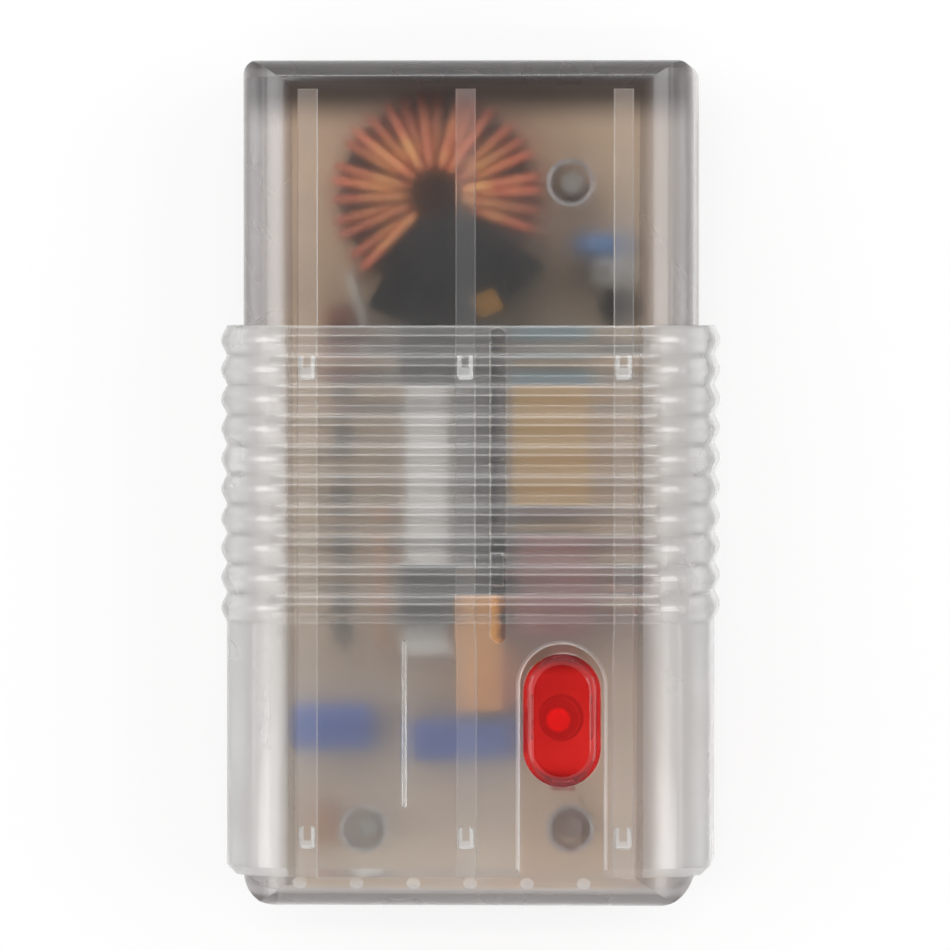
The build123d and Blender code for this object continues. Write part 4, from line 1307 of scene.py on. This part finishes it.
sleeve_plastic = clear_finish(
    "sleeve_plastic", (250, 250, 249), (244, 243, 242), patch=12, gloss=(0.16, 0.22), grain=(0.004, 1.2),
    clear=0.968, shade=(250, 250, 249),
)
sleeve_curve = clear_finish(
    "sleeve_curve", (250, 250, 249), (244, 243, 242), patch=12, gloss=(0.28, 0.36), grain=(0.004, 1.2),
    clear=0.94, shade=(250, 250, 249), coat=0.3,
)
sleeve_side = clear_finish(
    "sleeve_side", (250, 249, 247), (242, 240, 238), patch=12, gloss=(0.25, 0.35), grain=(0.006, 1.2),
    clear=0.88, shade=(248, 248, 247), coat=0.6,
)
sleeve_frost = clear_finish(
    "sleeve_frost", (252, 252, 252), (243, 243, 243), patch=3, gloss=(0.3, 0.4), grain=(0.02, 0.4),
    clear=0.5, shade=(246, 246, 246),
)
for finish in (sleeve_plastic, sleeve_curve, sleeve_frost, sleeve_side):
    sleeve.data.materials.append(finish)
flat_end = sleeve_inside - sleeve_shoulder
curve_start = flat_end + 0.7 * mm
side_start = flat_end + 3.0 * mm
for face in sleeve.data.polygons:
    if abs(face.center.x) > side_start:
        face.material_index = 3
    elif abs(face.center.x) > curve_start:
        face.material_index = 1
    elif pip_low - touch < face.center.z < sleeve_underside - touch:
        on_guide = abs(face.center.x - guide_x) < guide_half + touch
        on_pip = abs(face.center.x) < flat_end
        face.material_index = 3 if on_guide else 2 if on_pip else 0

notch_edge = 0.5 * mm
sleeve_top = sleeve_underside + sleeve_wall


def on_notch(place):
    """Whether a place lies on the upper edge of the notch."""
    beyond = max(place.y - notch_arch_y, 0)
    outline = math.hypot(place.x - lens_middle[0], beyond)
    return abs(place.z - sleeve_top) < touch and abs(outline - notch_radius) < touch


take(sleeve)
edit_mode()
pick_edges(sleeve, on_notch)
bpy.ops.mesh.bevel(offset=notch_edge, segments=2, profile=0.5)
sleeve.active_material_index = 1
bpy.ops.object.material_slot_assign()
object_mode()
smooth()
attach(sleeve, "sleeve")
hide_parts("slider_sleeve")

# Floor
# A plain white sheet under the part, with the part's soft shadow on it.
floor_size = 6.0
floor_drop = 0.3 * mm
start_piece()
bpy.ops.mesh.primitive_plane_add(size=floor_size, location=(0, 0, -floor_drop))
floor = bpy.context.object
floor.name = "floor"


def seen_directly(tree):
    """1 where the camera, a reflection or a look through clear plastic meets a surface."""
    path = tree.nodes.new("ShaderNodeLightPath")
    level = path.outputs["Is Camera Ray"]
    for way in ("Is Glossy Ray", "Is Transmission Ray"):
        wider = tree.nodes.new("ShaderNodeMath")
        wider.operation = "MAXIMUM"
        tree.links.new(level, wider.inputs[0])
        feed(path, way, wider, 1)
        level = wider.outputs["Value"]
    return level


paper_glow = 0.8
paper_roughness = 0.9
paper = bpy.data.materials.new("white_paper")
paper.use_nodes = True
nodes = paper.node_tree.nodes
base_color(paper).default_value = seen(244, 244, 244)
nodes["Principled BSDF"].inputs["Roughness"].default_value = paper_roughness
glow = nodes.new("ShaderNodeEmission")
share = nodes.new("ShaderNodeMath")
share.operation = "MULTIPLY"
share.inputs[1].default_value = paper_glow
choose = nodes.new("ShaderNodeMixShader")
paper.node_tree.links.new(seen_directly(paper.node_tree), share.inputs[0])
feed(share, "Value", choose, "Fac")
feed(nodes["Principled BSDF"], "BSDF", choose, 1)
feed(glow, "Emission", choose, 2)
feed(choose, "Shader", nodes["Material Output"], "Surface")
floor.data.materials.append(paper)

# Studio light
# A white room that is darker overhead, a large soft panel on each side of the part, and narrow
# strips along its four sides.
world = bpy.data.worlds.new("white_room")
scene = bpy.context.scene
scene.world = world
world.use_nodes = True
nodes = world.node_tree.nodes
room_light = 0.4
room_white = 1.0
ceiling_start = 0.45
ceiling_end = 0.95
ceiling_tone = 0.08
level = ramp_between(world.node_tree, seen_directly(world.node_tree), 0, 1)
level.inputs["To Min"].default_value = room_light
level.inputs["To Max"].default_value = room_white
feed(level, "Result", nodes["Background"], "Strength")
place = nodes.new("ShaderNodeTexCoord")
height = nodes.new("ShaderNodeSeparateXYZ")
ceiling = nodes.new("ShaderNodeValToRGB")
ceiling.color_ramp.elements[0].position = ceiling_start
ceiling.color_ramp.elements[0].color = (1, 1, 1, 1)
ceiling.color_ramp.elements[1].position = ceiling_end
ceiling.color_ramp.elements[1].color = (ceiling_tone, ceiling_tone, ceiling_tone, 1)
feed(place, "Generated", height, "Vector")
feed(height, "Z", ceiling, "Fac")
feed(ceiling, "Color", nodes["Background"], "Color")


def soft_panel(name, place, width, depth, power):
    """Lamp with a flat white face of the given size, turned towards the part."""
    data = bpy.data.lights.new(name, "AREA")
    data.shape = "RECTANGLE"
    data.size = width
    data.size_y = depth
    data.energy = power
    panel = bpy.data.objects.new(name, data)
    bpy.context.collection.objects.link(panel)
    panel.location = place
    panel.rotation_euler = Vector(place).to_track_quat("Z", "X").to_euler()


for side, name in ((-1, "left"), (1, "right")):
    soft_panel(name + "_panel", (side * 0.64, 0.1, 0.62), width=0.6, depth=0.6, power=3.6)
    soft_panel(name + "_strip", (side * 0.8, 0, 0.24), width=0.08, depth=0.8, power=0.4)
soft_panel("far_strip", (0, 0.7, 0.8), width=0.06, depth=1.2, power=4.0)
soft_panel("near_strip", (0, -0.7, 0.8), width=0.06, depth=1.2, power=2.5)
scene.cycles.caustics_refractive = False
scene.cycles.caustics_reflective = False
scene.cycles.max_bounces = 10
scene.cycles.transparent_max_bounces = 24

# Camera
# It looks down on the part from about a metre, a little from the right and from the far end.
view_width = 119.04 * mm
view_centre = Vector((0.41 * mm, 0.80 * mm, 12 * mm))
view_lean = Vector((0.053, 0.02, 0.998)).normalized()
view_distance = 1.2
camera_data = bpy.data.cameras.new("camera")
camera_data.sensor_width = 36
camera_data.lens = camera_data.sensor_width * view_distance / view_width
camera = bpy.data.objects.new("camera", camera_data)
bpy.context.collection.objects.link(camera)
right = Vector((0, 1, 0)).cross(view_lean).normalized()
up = view_lean.cross(right)
turn = Matrix((right, up, view_lean)).transposed().to_4x4()
camera.matrix_world = Matrix.Translation(view_centre + view_lean * view_distance) @ turn
scene.camera = camera
scene.view_settings.view_transform = "Standard"
